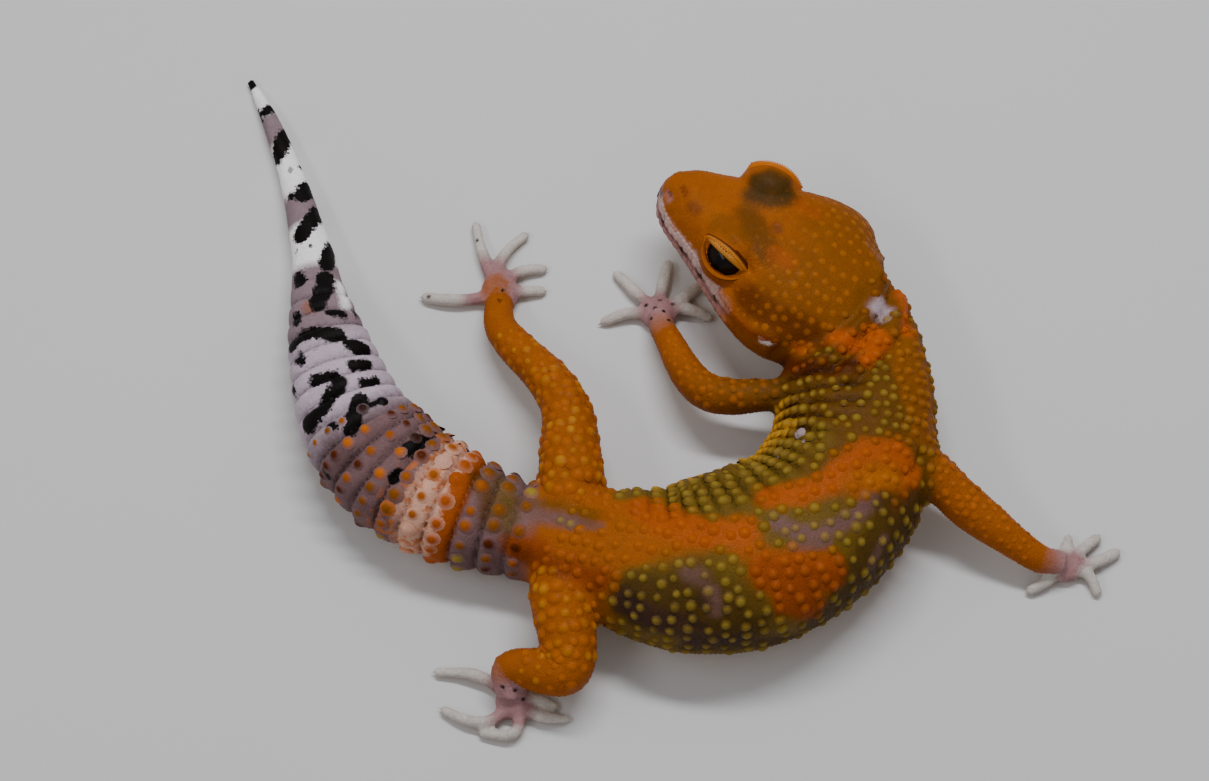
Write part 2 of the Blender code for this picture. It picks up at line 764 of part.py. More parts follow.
def build_limb(side_name, limb, torso, floor, collection):
    def on_top(place):
        at = min(limb["points"], key=lambda point: math.dist(point, place))
        return place.z > at[2] + LIMB_TOP_RISE

    stations = limb_path(limb["points"])
    radii = [(station[0], radius) for station, radius in zip(stations, limb["radii"])]
    marks = [station[0] for station in stations]
    joints = []
    for mark in (marks[2], marks[3]):
        ahead = Vector(hermite(stations, mark + TANGENT_REACH))
        behind = Vector(hermite(stations, mark - TANGENT_REACH))
        joints.append(((ahead + behind) / 2, (ahead - behind).normalized()))
    upper_name, lower_name, paw_name = (f"{side_name}_{part}" for part in limb["parts"])

    end = marks[2] + JOINT_OVERRUN
    upper = tube(upper_name, stations, radii, marks[0], end, collection, LIMB_SIDES, on_top)
    trim(upper, *joints[0], keep_before=True)
    subtract(upper, torso)
    keep_largest(upper)

    start, end = marks[2] - JOINT_OVERRUN, marks[3] + JOINT_OVERRUN
    lower = tube(lower_name, stations, radii, start, end, collection, LIMB_SIDES, on_top)
    trim(lower, *joints[0], keep_before=False)
    trim(lower, *joints[1], keep_before=True)

    start = marks[3] - JOINT_OVERRUN
    paw = tube(paw_name, stations, radii, start, marks[4], collection, LIMB_SIDES)
    trim(paw, *joints[1], keep_before=False)
    pieces = new_collection(f"{side_name}_pieces", hidden=True)
    center, size = limb["palm"]
    bm = bmesh.new()
    bmesh.ops.create_uvsphere(
        bm, u_segments=PALM_SEGMENTS[0], v_segments=PALM_SEGMENTS[1], radius=MM
    )
    bmesh.ops.scale(bm, vec=size, verts=bm.verts)
    bmesh.ops.translate(bm, vec=Vector(center) * MM, verts=bm.verts)
    mesh_object("palm", bm, pieces)
    for tip, bend in limb["digits"]:
        add_digit(pieces, Vector(center), Vector((*tip, DIGIT_TIP_HEIGHT)), bend)
    combine(paw, pieces, "UNION")
    subtract(paw, floor)
    keep_largest(paw)


def add_digit(collection, root, tip, bend):
    """A toe from inside the palm to its tip, arched a little, with a claw."""
    way = tip - root
    sideways = Vector((-way.y, way.x, 0.0)) * bend
    last = len(DIGIT_RADII) - 1
    stations = []
    for i in range(last + 1):
        share = DIGIT_ROOT_SHARE + (1 - DIGIT_ROOT_SHARE) * i / last
        place = root + way * share + sideways * math.sin(math.pi * share)
        place.z = DIGIT_HEIGHT + DIGIT_ARCH * math.sin(math.pi * share)
        stations.append((share * way.length, *place))
    radii = [(station[0], radius) for station, radius in zip(stations, DIGIT_RADII)]
    tube("digit", stations, radii, stations[0][0], stations[-1][0], collection, DIGIT_SIDES)
    end = Vector(stations[-1][1:])
    direction = (end - Vector(stations[-2][1:])).normalized()
    claw = bmesh.new()
    bmesh.ops.create_cone(
        claw,
        cap_ends=True,
        segments=CLAW_SIDES,
        radius1=CLAW_RADIUS * MM,
        radius2=CLAW_TIP_RADIUS * MM,
        depth=(CLAW_LENGTH + CLAW_SUNK) * MM,
    )
    turn = direction.to_track_quat("Z", "Y").to_matrix().to_4x4()
    place = end + direction * (CLAW_LENGTH - CLAW_SUNK) / 2
    bmesh.ops.transform(claw, matrix=Matrix.Translation(place * MM) @ turn, verts=claw.verts)
    mesh_object("claw", claw, collection)


def main():
    clear_scene()
    animal = new_collection("leopard_gecko")
    cutters = new_collection("cutters", hidden=True)
    build_head(animal, cutters)
    build_eye("eye_left", 1, animal)
    build_eye("eye_right", -1, animal)
    for name, start, end in TRUNK_NODES:
        build_trunk_node(name, start, end, animal)
    for name, start, whorls, sides in TAIL_NODES:
        build_tail_node(name, start, whorls, sides, animal)
    torso = torso_copy(cutters)
    floor = cutting_box("floor_cut", FLOOR_CUT_SIZE, cutters)
    floor.location.z = -FLOOR_CUT_SIZE * MM / 2
    for side_name, limb in LIMBS.items():
        build_limb(side_name, limb, torso, floor, animal)
    to_middle = Matrix.Translation((-PLAN_MIDDLE[0] * MM, -PLAN_MIDDLE[1] * MM, 0))
    for obj in animal.objects:
        obj.data.transform(to_middle)
        paint(obj)
        obj.data.shade_smooth()
        obj.data.set_sharp_from_angle(angle=math.radians(SHARP_ANGLE))


main()
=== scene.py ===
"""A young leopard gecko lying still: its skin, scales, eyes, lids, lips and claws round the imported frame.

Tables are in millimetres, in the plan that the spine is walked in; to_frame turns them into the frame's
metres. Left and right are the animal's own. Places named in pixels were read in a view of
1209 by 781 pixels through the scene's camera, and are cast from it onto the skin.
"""

import math

import bpy
import numpy as np
from bpy.props import FloatProperty, FloatVectorProperty, IntProperty, PointerProperty
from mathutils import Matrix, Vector, noise
from mathutils.bvhtree import BVHTree
from mathutils.kdtree import KDTree


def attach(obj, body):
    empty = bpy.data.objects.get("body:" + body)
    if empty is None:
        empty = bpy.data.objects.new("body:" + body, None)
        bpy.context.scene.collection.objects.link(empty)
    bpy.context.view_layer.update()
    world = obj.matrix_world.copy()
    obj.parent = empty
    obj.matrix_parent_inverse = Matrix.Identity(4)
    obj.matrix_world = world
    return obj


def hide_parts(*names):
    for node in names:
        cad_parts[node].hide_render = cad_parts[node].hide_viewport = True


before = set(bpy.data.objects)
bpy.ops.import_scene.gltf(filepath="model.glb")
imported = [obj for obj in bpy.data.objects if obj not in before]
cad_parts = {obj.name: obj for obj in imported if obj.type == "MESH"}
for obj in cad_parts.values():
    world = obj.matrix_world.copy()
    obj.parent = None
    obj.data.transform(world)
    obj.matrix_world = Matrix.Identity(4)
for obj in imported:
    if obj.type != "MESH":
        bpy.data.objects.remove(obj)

bl_info = {
    "name": "Leopard Gecko",
    "version": (1, 0, 0),
    "blender": (4, 5, 0),
    "location": "3D View > Sidebar > Gecko",
    "description": "Builds a young leopard gecko's skin, scales, eyes and stage",
    "category": "Object",
}

MM = 0.001
MIDDLE = np.array((-0.16, 3.31, 0.0))

# The view: where it looks, how high it stands and how many pixels a millimetre takes
VIEW_SIZE = (1209, 781)
VIEW_TARGET = np.array((-7.5, 2.0, 6.0))
VIEW_ELEVATION = math.radians(66.0)
VIEW_DISTANCE = 450.0
VIEW_SCALE = 9.6
SENSOR_WIDTH = 36.0
VIEW_SINE, VIEW_COSINE = math.sin(VIEW_ELEVATION), math.cos(VIEW_ELEVATION)
VIEW_RIGHT = np.array((1.0, 0.0, 0.0))
VIEW_UP = np.array((0.0, VIEW_SINE, VIEW_COSINE))
VIEW_BACK = np.array((0.0, -VIEW_COSINE, VIEW_SINE))

# Pixels between the places along a stroke
STROKE_STEP = 3.0

# Head, in its own frame: distance back from the snout's tip, half width, top and bottom about the mouth
HEAD_SNOUT = np.array((-1.5, 24.2, 8.6))
HEAD_YAW, HEAD_PITCH, HEAD_ROLL = (math.radians(angle) for angle in (-32.0, 9.0, 13.0))
HEAD_LENGTH = 26.0
HEAD_RINGS = (
    (0.0, 0.8, 1.7, -0.5),
    (0.7, 2.2, 2.9, -1.3),
    (2.5, 3.8, 3.9, -2.0),
    (5.0, 5.0, 4.5, -2.6),
    (8.0, 6.6, 5.3, -3.2),
    (10.5, 7.9, 5.9, -3.6),
    (14.0, 9.6, 6.2, -4.1),
    (17.5, 10.6, 6.3, -4.3),
    (20.5, 10.1, 6.0, -4.2),
    (23.5, 8.7, 5.4, -4.0),
    (26.0, 6.8, 4.6, -3.8),
)
HEAD_TAPER = 0.16
UPPER_SQUARENESS = (2.5, 2.3)
LOWER_SQUARENESS = (2.4, 2.0)
LIP_HEIGHT = 0.35
MOUTH_CORNER = 14.0
HEAD_CORNER = 23.2

# Swellings of the head: distance back, its reach, place across or up as a share, its reach, amount
BROW_SWELLING = (10.0, 3.4, 0.62, 0.22, 0.55)
CROWN_HOLLOW = (9.5, 4.0, 0.0, 0.3, 0.45)
CHEEK_HOLLOW = (12.0, 5.0, 0.25, 0.3, 0.05)

EYE_RADIUS = 2.5
EYE_PLACE = (10.2, 4.7, 2.9)
EYE_OUTWARD = (-0.12, 0.78, 0.62)
ORBIT_RADIUS = 3.2
ORBIT_GROWTH = {1: 1.0, -1: 1.06}
SINK_DEPTH = 0.5
NOSTRIL_PLACE = (1.2, 1.95, 2.35)
NOSTRIL_DEPTH, NOSTRIL_RADIUS = 0.5, 0.42
EAR_PLACE = (20.0, 10.0, 0.2)
EAR_DEPTH, EAR_SIZE = 0.5, (0.8, 2.5, 1.35)

SPINE_START = (15.1, 11.9)
SPINE_HEADING = -49.5
SPINE_RUNS = (
    (7.6, -31.5),
    (5.0, -7.0),
    (5.3, -15.0),
    (26.8, -91.5),
    (6.3, -6.0),
    (8.0, 5.0),
    (9.1, -11.0),
    (15.1, -43.5),
    (15.7, -11.5),
    (26.2, 18.0),
)
SPINE_STEP = 0.1
NECK_START = 2.0
NECK_SKEW = 18.0
NECK_SKEW_END = 9.0

# Trunk and tail: distance along the spine, half width, height of the back, height of the underside
BODY_STATIONS = (
    (2.0, 7.9, 9.7, 0.7),
    (5.0, 7.9, 9.9, 0.6),
    (8.0, 7.9, 10.6, 0.4),
    (11.0, 8.1, 11.5, 0.2),
    (14.0, 8.2, 12.2, 0.0),
    (18.5, 8.5, 12.9, -0.5),
    (27.0, 8.9, 13.6, -0.6),
    (35.5, 9.1, 13.8, -0.6),
    (42.0, 8.5, 13.2, -0.5),
    (48.5, 7.0, 11.9, -0.3),
    (52.5, 5.8, 10.6, -0.3),
    (58.5, 4.7, 9.2, -0.3),
    (64.5, 5.3, 9.6, -0.3),
    (69.5, 5.9, 10.0, -0.3),
    (76.5, 6.0, 9.8, -0.3),
    (82.5, 5.3, 8.7, -0.3),
    (91.0, 4.0, 6.9, -0.2),
    (98.5, 2.7, 4.9, -0.2),
    (105.0, 1.9, 3.6, -0.15),
    (110.5, 1.5, 2.8, -0.1),
    (116.5, 1.1, 2.1, -0.1),
    (121.0, 0.85, 1.65, -0.1),
    (125.1, 0.45, 1.0, -0.1),
)
BODY_ROUNDNESS = 2.3

# Rings of the tail: distances along the spine and how many rings lie before them, and the profile of one ring
WHORLS = ((49.25, 0.0), (67.45, 7.0), (100.25, 22.0))
WHORL_PLACES, WHORL_COUNTS = np.array(WHORLS).T
WHORL_PHASES = (0.0, 0.06, 0.2, 0.45, 0.7, 0.86, 0.95, 1.0)
WHORL_HEIGHTS = (-1.0, -0.35, 0.3, 0.62, 0.68, 0.5, 0.0, -1.0)

# Folds of the inner flank: where they start and end, and the length of one
CREASE_FROM, CREASE_TO, CREASE_LENGTH = 9.0, 47.0, 2.2
FLANK_SKEW = 0.3
FLANK_FULLNESS = 0.75

# Limbs: the points of each, root first, the radius at each, the palm as its middle and half sizes,
# and each toe as its tip and how far it bends to the side
LIMBS = {
    "front_left": {
        "points": ((16.4, -0.6, 7.0), (12.0, 0.9, 7.2), (3.2, 2.0, 5.6), (-1.1, 9.9, 2.9), (-1.7, 12.6, 1.6)),
        "radii": (2.2, 1.7, 1.95, 1.4, 1.3),
        "palm": ((-1.8, 13.2, 0.9), (2.0, 1.9, 1.15)),
        "toes": (
            (3.5, 12.9, 0.13), (2.5, 16.5, -0.03), (-0.7, 19.1, 0.02),
            (-6.1, 17.9, 0.01), (-7.5, 12.4, -0.08),
        ),
    },
    "front_right": {
        "points": (
            (20.4, -3.6, 7.0), (25.2, -7.0, 7.2), (30.3, -11.1, 5.2),
            (37.2, -15.5, 2.8), (39.8, -15.7, 1.6),
        ),
        "radii": (2.6, 2.35, 2.2, 1.5, 1.3),
        "palm": ((40.2, -15.5, 0.9), (2.1, 1.9, 1.15)),
        "toes": (
            (40.7, -12.5, 0.02), (43.6, -12.5, 0.0), (45.5, -14.1, -0.11),
            (43.4, -18.3, 0.18), (36.6, -18.2, 0.05),
        ),
    },
    "hind_left": {
        "points": (
            (-11.2, -13.5, 6.0), (-10.9, -8.5, 7.0), (-11.9, 1.0, 5.8),
            (-18.3, 10.3, 2.9), (-18.8, 14.4, 1.6),
        ),
        "radii": (3.3, 3.4, 2.45, 1.75, 1.45),
        "palm": ((-18.6, 15.6, 0.9), (2.0, 2.6, 1.2)),
        "toes": (
            (-14.3, 16.0, 0.0), (-14.2, 18.6, 0.18), (-16.1, 22.5, 0.17),
            (-21.3, 23.7, 0.04), (-26.5, 15.2, 0.08),
        ),
    },
    "hind_right": {
        "points": (
            (-11.8, -16.5, 5.6), (-11.9, -21.0, 6.3), (-11.4, -28.6, 5.0),
            (-17.1, -27.9, 3.6), (-17.0, -30.2, 1.8),
        ),
        "radii": (3.2, 3.25, 2.55, 1.8, 1.4),
        "palm": ((-16.5, -30.6, 0.9), (2.2, 1.9, 1.15)),
        "toes": (
            (-12.8, -30.9, 0.1), (-11.5, -32.3, -0.12), (-19.8, -33.8, 0.5),
            (-23.8, -31.4, 0.24), (-24.5, -27.2, -0.12),
        ),
    },
}
TOE_RADII = (0.74, 0.64, 0.66, 0.6, 0.56)
TOE_ARCH = 0.4
TOE_HEIGHT = 0.55
TOE_TIP_HEIGHT = 0.45
TOE_ROOT_SHARE = 0.2
CLAW_SIZE = (0.5, 0.13)
CLAW_STEPS = 4
CLAW_HOOK = 0.12

# Lids: half length of the opening, how far it opens up and down, width of the upper and lower margins
LID_OPENING = (2.5, 0.42, 1.45)
LID_MARGINS = (1.3, 0.5)
LID_TILT = math.radians(8.0)
LID_SIDES = 72
LID_SCALES = (3, 34)
LID_HOLE = (0.25, 0.6, 0.36)
LID_SWELL = {1: 1.0, -1: 1.1}
EYE_SHIFTS = {1: (0.0, 0.0, 0.0), -1: (-0.45, 0.0, 0.2)}

# A lid from the eyeball over its rim to the skin: how far out, and distance from the eye's middle
LID_PROFILE = ((-0.03, 2.46), (0.0, 2.68), (0.14, 2.86), (0.4, 3.1), (0.72, 3.3), (0.95, 3.3), (1.1, 3.05))

# A step out is this much longer than the step in before it, so that the skin keeps its size
STEP_OUT = 1.04
FAR_AWAY = 1000.0

# Where the skin's mesh is finer: middle, radius of the finer part, radius where it is plain again, how much
FINER_PLACES = (
    ((9.0, 17.0, 7.0), 14.5, 30.0, 1.32),
    ((40.6, -15.4, 0.9), 7.5, 14.0, 1.25),
    ((-18.8, 16.8, 0.9), 9.0, 17.0, 1.25),
    ((-17.0, -30.6, 0.9), 8.6, 16.0, 1.25),
)

# Pigments as they look on screen, 0 to 255
PIGMENTS = {
    "orange": (154, 80, 8),
    "deep_orange": (138, 61, 1),
    "bright_orange": (164, 75, 1),
    "vivid_orange": (178, 80, 1),
    "dome_orange": (188, 98, 4),
    "light_orange": (222, 148, 62),
    "tan": (178, 100, 14),
    "brown": (130, 73, 8),
    "umber": (96, 60, 10),
    "dark_brown": (80, 30, 1),
    "yellow": (152, 126, 42),
    "gold": (204, 142, 30),
    "olive": (104, 78, 20),
    "olive_brown": (98, 62, 8),
    "dark_olive": (70, 48, 14),
    "lavender": (112, 80, 76),
    "plum": (56, 34, 36),
    "mauve": (116, 88, 90),
    "lilac": (136, 116, 124),
    "pale_lilac": (192, 174, 188),
    "pink_white": (212, 160, 138),
    "lip": (204, 170, 164),
    "flesh": (158, 118, 120),
    "bone": (196, 188, 182),
    "white": (255, 250, 255),
    "soot": (44, 28, 23),
    "black": (12, 8, 7),
    "cream": (226, 184, 140),
    "pupil": (6, 5, 5),
    "iris": (30, 20, 12),
    "dark_iris": (8, 6, 5),
    "horn": (214, 204, 192),
    "dark_horn": (160, 148, 136),
}

# Ground colours along the spine, from the nape to the tail's tip
SPINE_GROUND = (
    (0.0, "brown"),
    (8.0, "olive_brown"),
    (24.0, "olive_brown"),
    (27.0, "olive"),
    (39.0, "olive"),
    (46.0, "olive"),
    (49.0, "orange"),
    (56.5, "orange"),
    (58.5, "mauve"),
    (64.3, "mauve"),
    (65.0, "bright_orange"),
    (66.2, "bright_orange"),
    (66.8, "pink_white"),
    (69.8, "pink_white"),
    (70.4, "mauve"),
    (77.5, "mauve"),
    (79.0, "lilac"),
    (82.0, "pale_lilac"),
    (90.0, "pale_lilac"),
    (92.0, "lilac"),
    (99.5, "lilac"),
    (100.5, "white"),
    (105.2, "white"),
    (106.0, "lilac"),
    (109.0, "lilac"),
    (110.0, "white"),
    (115.0, "white"),
    (117.0, "lilac"),
    (120.0, "lilac"),
    (121.0, "white"),
    (130.0, "white"),
)

# Ground colours along each limb, as a share of the way to the wrist or ankle, then along its toes
PLAIN_LIMB = ((0.0, "orange"), (1.0, "orange"), (1.1, "flesh"), (1.3, "flesh"), (1.5, "bone"))
LIMB_GROUND = {
    "front_left": (
        # Painted shade: dark brown to brown on the upper part of this limb, which lies under the head;
        # towards the wrist it keeps its own orange
        (0.0, "dark_brown"), (0.25, "umber"), (0.5, "brown"), (0.85, "orange"),
        (0.98, "orange"), (1.1, "flesh"), (1.3, "flesh"), (1.5, "bone"),
    ),
    "front_right": PLAIN_LIMB,
    "hind_left": ((0.0, "orange"), (1.16, "orange"), (1.3, "flesh"), (1.4, "flesh"), (1.6, "bone")),
    "hind_right": PLAIN_LIMB,
}

# Patches of colour over the ground: pigment, strength, radius and points, in pixels of the view
PATCHES = (
    ("brown", 0.9, 26, ((908, 345), (918, 385), (924, 425))),
    ("umber", 0.9, 26, ((850, 372), (872, 388), (856, 406), (884, 414))),
    ("olive_brown", 0.7, 15, ((812, 402), (836, 424), (820, 440))),
    # Painted shade below the head, over the shoulder
    ("dark_brown", 0.8, 11, ((786, 366), (820, 368), (850, 366))),
    ("olive", 0.95, 19, ((816, 436), (780, 458), (745, 474), (700, 484), (655, 488), (632, 492))),
    ("gold", 0.7, 7, ((650, 478), (690, 468), (730, 462), (764, 448), (790, 424))),
    ("olive", 0.95, 17, ((690, 504), (735, 502))),
    ("bright_orange", 1.0, 13, ((768, 496), (800, 494), (832, 482))),
    ("bright_orange", 1.0, 15, ((842, 472), (866, 452), (900, 454), (912, 474))),
    ("orange", 0.9, 16, ((858, 484), (884, 474), (896, 484))),
    ("tan", 0.5, 10, ((872, 480), (890, 478))),
    ("bright_orange", 0.9, 10, ((914, 488), (900, 506))),
    ("olive", 1.0, 18, ((780, 534), (826, 532), (872, 526))),
    ("lavender", 0.95, 8, ((778, 522), (796, 532), (822, 534), (850, 520), (874, 502))),
    ("lavender", 0.8, 6, ((798, 548), (826, 544))),
    ("dark_olive", 0.95, 22, ((914, 508), (902, 540), (882, 570), (854, 596), (820, 620))),
    ("umber", 0.9, 16, ((922, 516), (908, 554), (884, 588), (850, 614))),
    ("dark_olive", 0.75, 24, ((892, 514), (880, 548), (848, 592))),
    ("plum", 0.85, 12, ((914, 532), (902, 554), (882, 580))),
    ("lavender", 0.6, 6, ((884, 540), (872, 566))),
    ("orange", 1.0, 12, ((546, 490), (590, 490))),
    ("orange", 1.0, 22, ((592, 548), (640, 544), (682, 546))),
    ("bright_orange", 1.0, 17, ((642, 508), (668, 522), (704, 534), (744, 532))),
    ("deep_orange", 1.0, 21, ((766, 574), (804, 578), (826, 574))),
    ("deep_orange", 1.0, 17, ((788, 600), (810, 606))),
    ("bright_orange", 0.6, 9, ((740, 552), (790, 556), (832, 560))),
    ("dark_olive", 0.85, 32, ((642, 604), (690, 592), (722, 604), (738, 622))),
    # Partly the flank's own dark olive, partly painted shade along the flank's lower edge, which faces away
    # from the light
    ("dark_olive", 1.0, 13, ((690, 648), (740, 646), (790, 640), (832, 622), (866, 600))),
    ("olive", 0.5, 12, ((660, 566), (700, 560), (738, 580), (758, 606))),
    ("plum", 0.7, 15, ((626, 604), (652, 620), (694, 632))),
    ("lavender", 0.6, 9, ((688, 572), (700, 578))),
    ("lavender", 0.6, 8, ((712, 592), (716, 610))),
    ("soot", 0.6, 5, ((634, 600), (638, 603))),
    ("soot", 0.5, 6, ((700, 602), (706, 603))),
    # Partly the flank's own plum, partly painted shade along the flank's lower edge
    ("plum", 0.7, 9, ((690, 642), (740, 640))),
    ("olive_brown", 0.7, 11, ((504, 502), (545, 508), (590, 518))),
    ("lavender", 0.9, 8, ((498, 508), (540, 516), (572, 522))),
    ("lavender", 0.6, 5, ((580, 524), (600, 527))),
    ("soot", 0.8, 5, ((505, 502), (507, 506))),
    ("deep_orange", 1.0, 15, ((516, 546), (556, 560), (600, 578))),
    ("dark_brown", 0.4, 10, ((524, 556), (560, 568))),
    ("orange", 0.85, 12, ((560, 545), (610, 560))),
    ("brown", 0.7, 24, ((790, 262), (836, 276), (860, 250), (826, 226))),
    ("brown", 0.7, 22, ((770, 300), (800, 312), (836, 302))),
    ("dark_brown", 0.6, 16, ((748, 300), (780, 322), (812, 336))),
    ("dark_olive", 0.65, 14, ((748, 214), (758, 232), (766, 250))),
    ("olive_brown", 0.5, 13, ((722, 224), (738, 234))),
    ("dark_olive", 0.9, 10, ((752, 194), (772, 200), (790, 198))),
    ("dark_olive", 0.9, 9, ((756, 180), (770, 176), (786, 182))),
    ("dark_olive", 0.9, 9, ((760, 188), (772, 187), (784, 190))),
    ("bright_orange", 0.6, 10, ((776, 254), (786, 260))),
    ("bright_orange", 0.5, 10, ((802, 206), (814, 212))),
    ("plum", 0.35, 6, ((692, 207), (697, 210))),
    ("dark_brown", 0.5, 3.5, ((683, 188), (686, 193))),
    ("plum", 0.4, 5, ((776, 226), (778, 230))),
    ("flesh", 0.8, 4, ((667, 194), (669, 198))),
    ("soot", 0.8, 4, ((660, 184), (661, 194))),
    ("soot", 0.8, 3, ((664, 174), (668, 170))),
    ("bright_orange", 0.9, 4.5, ((722, 294), (736, 314), (752, 332), (772, 338))),
    # Painted shade under the head: along its rear edge, where it overhangs the neck, and below it over the
    # shoulder
    ("dark_brown", 0.65, 5, ((884, 262), (880, 286), (868, 310), (850, 330), (826, 348))),
    ("dark_brown", 0.7, 10, ((776, 364), (806, 368))),
    ("vivid_orange", 1.0, 8, ((888, 266), (896, 284), (904, 306), (908, 330))),
    ("vivid_orange", 1.0, 11, ((838, 340), (856, 344), (872, 342))),
    ("vivid_orange", 1.0, 8, ((872, 330), (884, 340), (866, 360))),
    # Painted shade in the grooves of the neck's folds
    ("dark_brown", 0.6, 1.8, ((886, 328), (868, 346), (850, 360), (828, 372))),
    ("dark_brown", 0.5, 1.6, ((858, 334), (842, 348), (822, 358))),
    ("bright_orange", 0.9, 5, ((796, 346), (806, 350))),
    ("pale_lilac", 0.85, 10.5, ((879, 310), (881, 308))),
    ("pale_lilac", 0.6, 2.5, ((870, 328), (862, 338), (856, 346))),
    ("dark_olive", 0.9, 3, ((874, 316), (875, 317))),
    ("dark_olive", 0.9, 3.5, ((884, 312), (885, 313))),
    ("white", 0.8, 2.4, ((762, 341), (767, 343), (772, 342))),
    ("white", 0.95, 7, ((340, 286), (344, 300), (346, 306))),
    ("orange", 0.5, 5, ((306, 306), (310, 310))),
    ("plum", 0.35, 12, ((334, 444), (350, 460))),
    ("umber", 0.75, 10, ((478, 478), (486, 500), (488, 520))),
    ("olive", 0.7, 10, ((500, 480), (506, 500), (508, 524))),
    ("pale_lilac", 0.9, 2.4, ((796, 432), (797, 434))),
    ("pale_lilac", 0.9, 2.4, ((801, 440), (803, 441))),
    ("pale_lilac", 0.9, 2.4, ((776, 453), (778, 454))),
)

# Dark marks along the mouth: distance back from the snout and half length
LIP_MARKS = ((2.2, 0.5), (5.6, 0.7), (8.6, 0.6), (11.4, 0.4))

# Blots of the tail and the feet: radius and points, in pixels of the view
BLOTS = (
    (7, ((248, 79), (250, 84))),
    (6, ((265, 111), (276, 107))),
    (3, ((258, 112), (262, 120))),
    (8, ((277, 158), (281, 146), (286, 136))),
    (2.4, ((290, 170),)),
    (2.4, ((300, 167),)),
    (9.5, ((303, 194), (308, 189))),
    (4, ((291, 196),)),
    (8.5, ((300, 236), (310, 222), (322, 210))),
    (2.2, ((296, 251),)),
    (2.2, ((310, 246),)),
    (8.5, ((327, 264), (331, 250))),
    (7, ((298, 278), (300, 282))),
    (9, ((326, 278), (323, 292), (318, 303))),
    (6, ((296, 318), (298, 322))),
    (5.5, ((330, 313), (342, 316))),
    (4, ((352, 314), (354, 317))),
    (8, ((294, 346), (304, 336), (318, 332), (338, 336))),
    (8, ((350, 345), (364, 351))),
    (6.5, ((300, 359), (303, 361))),
    (6, ((352, 366), (366, 365))),
    (7, ((316, 381), (334, 378), (342, 384))),
    (9, ((336, 392), (324, 408), (310, 424))),
    (6, ((295, 388), (297, 390))),
    (6, ((364, 384), (376, 383))),
    (8.5, ((360, 402), (354, 418), (352, 430))),
    (5.5, ((368, 408), (382, 402))),
    (5.5, ((332, 428), (335, 427))),
    (7.5, ((408, 450), (424, 442))),
    (7, ((395, 478), (399, 475))),
    (4, ((326, 470), (330, 476))),
    (2.2, ((655, 308),)),
    (2.4, ((664, 311),)),
    (2.0, ((673, 304),)),
    (2.2, ((669, 320),)),
    (2.2, ((651, 318),)),
    (2.0, ((660, 300),)),
    (2.0, ((646, 305),)),
    (2.4, ((484, 277),)),
    (2.0, ((503, 290),)),
    (2.0, ((500, 300),)),
    (2.2, ((429, 297),)),
    (2.0, ((477, 240),)),
    (2.2, ((503, 687),)),
    (2.0, ((515, 690),)),
    (2.0, ((523, 699),)),
)
BLOT_FAR = 1.5
BLOT_GROWTH = 1.08

# Ridges and folds: height, radius in millimetres, then points in pixels of the view
FOLDS = (
    (-0.35, 0.35, ((722, 231), (737, 245), (747, 260), (750, 271))),
    (0.4, 0.7, ((725, 292), (735, 312), (752, 328), (772, 335))),
    (0.6, 0.9, ((880, 276), (878, 292), (868, 316), (846, 336), (814, 368))),
    (-0.55, 0.6, ((894, 284), (890, 304), (878, 326), (856, 348), (828, 372))),
    (0.5, 0.8, ((902, 292), (902, 304), (892, 326), (872, 346), (846, 366))),
    (-0.5, 0.6, ((914, 300), (910, 322), (898, 344), (878, 362), (850, 384))),
    (-0.45, 0.45, ((872, 322), (856, 342), (836, 358), (812, 372))),
    (-0.3, 0.5, ((800, 384), (812, 398), (806, 414))),
    (-0.3, 0.5, ((792, 420), (806, 426), (816, 440))),
    (-0.35, 0.5, ((566, 470), (580, 480), (600, 486))),
    (-0.35, 0.5, ((904, 476), (916, 470), (922, 452))),
)

# Soft noise that varies the skin: the size of its grains, its own seed and how much it adds
NOISES = {
    "ring_place": (3.0, 5.0, 0.12),
    "crease_place": (4.0, 6.0, 0.3),
    "swells": (5.0, 7.0, 0.14),
    "small_swells": (1.6, 8.0, 0.05),
    "ground_shift": (2.2, 0.0, 0.8),
    "lip_edge": (0.5, 12.0, 0.25),
    "freckles": (0.8, 11.0, 1.0),
    "patch_edge": (1.3, 2.0, 0.5),
    "fine_patch_edge": (0.45, 9.0, 0.22),
    "mottle": (0.8, 3.0, 0.09),
    "broad_mottle": (4.0, 4.0, 0.1),
}
SEED_STEP = 17.3

# Soft steps from one part of the animal to the next: where each starts and where it is done
HEAD_END = (21.5, 24.0)
HEAD_SIDES = (11.1, 12.0)
HEAD_MIDDLE, HEAD_REACH = (9, 17), (-24.0, -16.0)
LIMB_BORDER = (-0.1, 0.3)
RINGED_TAIL = ((56.0, 62.0), (94.0, 100.0))
FRECKLED_TAIL = ((66.5, 67.6), (70.5, 73.5))
FULL_FLANK = ((26, 33), (41, 47))
LIP_LINE = (-0.1, 0.1)
LOWER_LIP = (-1.3, -0.8)
LIP_SOFTNESS = 0.35

# The palm takes points this much farther off than the limb does, from this share of the way on
PALM_ALLOWANCE, PALM_FROM = 2.6, 0.85

# The wrist's or ankle's number in a limb's points, and the share of the way that stands for the toes
WRIST, TOE_SHARE = 3, 1.2

# Millimetres between the points that stand for a limb, and every how many of the spine's are used
SAMPLE_STEP, SPINE_SKIP = 0.25, 5

# How much painted shade darkens the creases of the inner flank and the grooves between the tail's rings
CREASE_SHADE, GROOVE_SHADE = 0.55, 0.6

# How strongly the rear of the head, the lower lip, the freckles and the underside are tinted
HEAD_TINT, LOWER_LIP_TINT, FRECKLE_TINT, UNDERSIDE_TINT = 0.85, 0.8, 0.75, 0.9

# Evening out the skin all over and then at its joints: rounds, and how far each goes
SMOOTHING, JOINT_SMOOTHING = (5, 0.55), (9, 0.6)

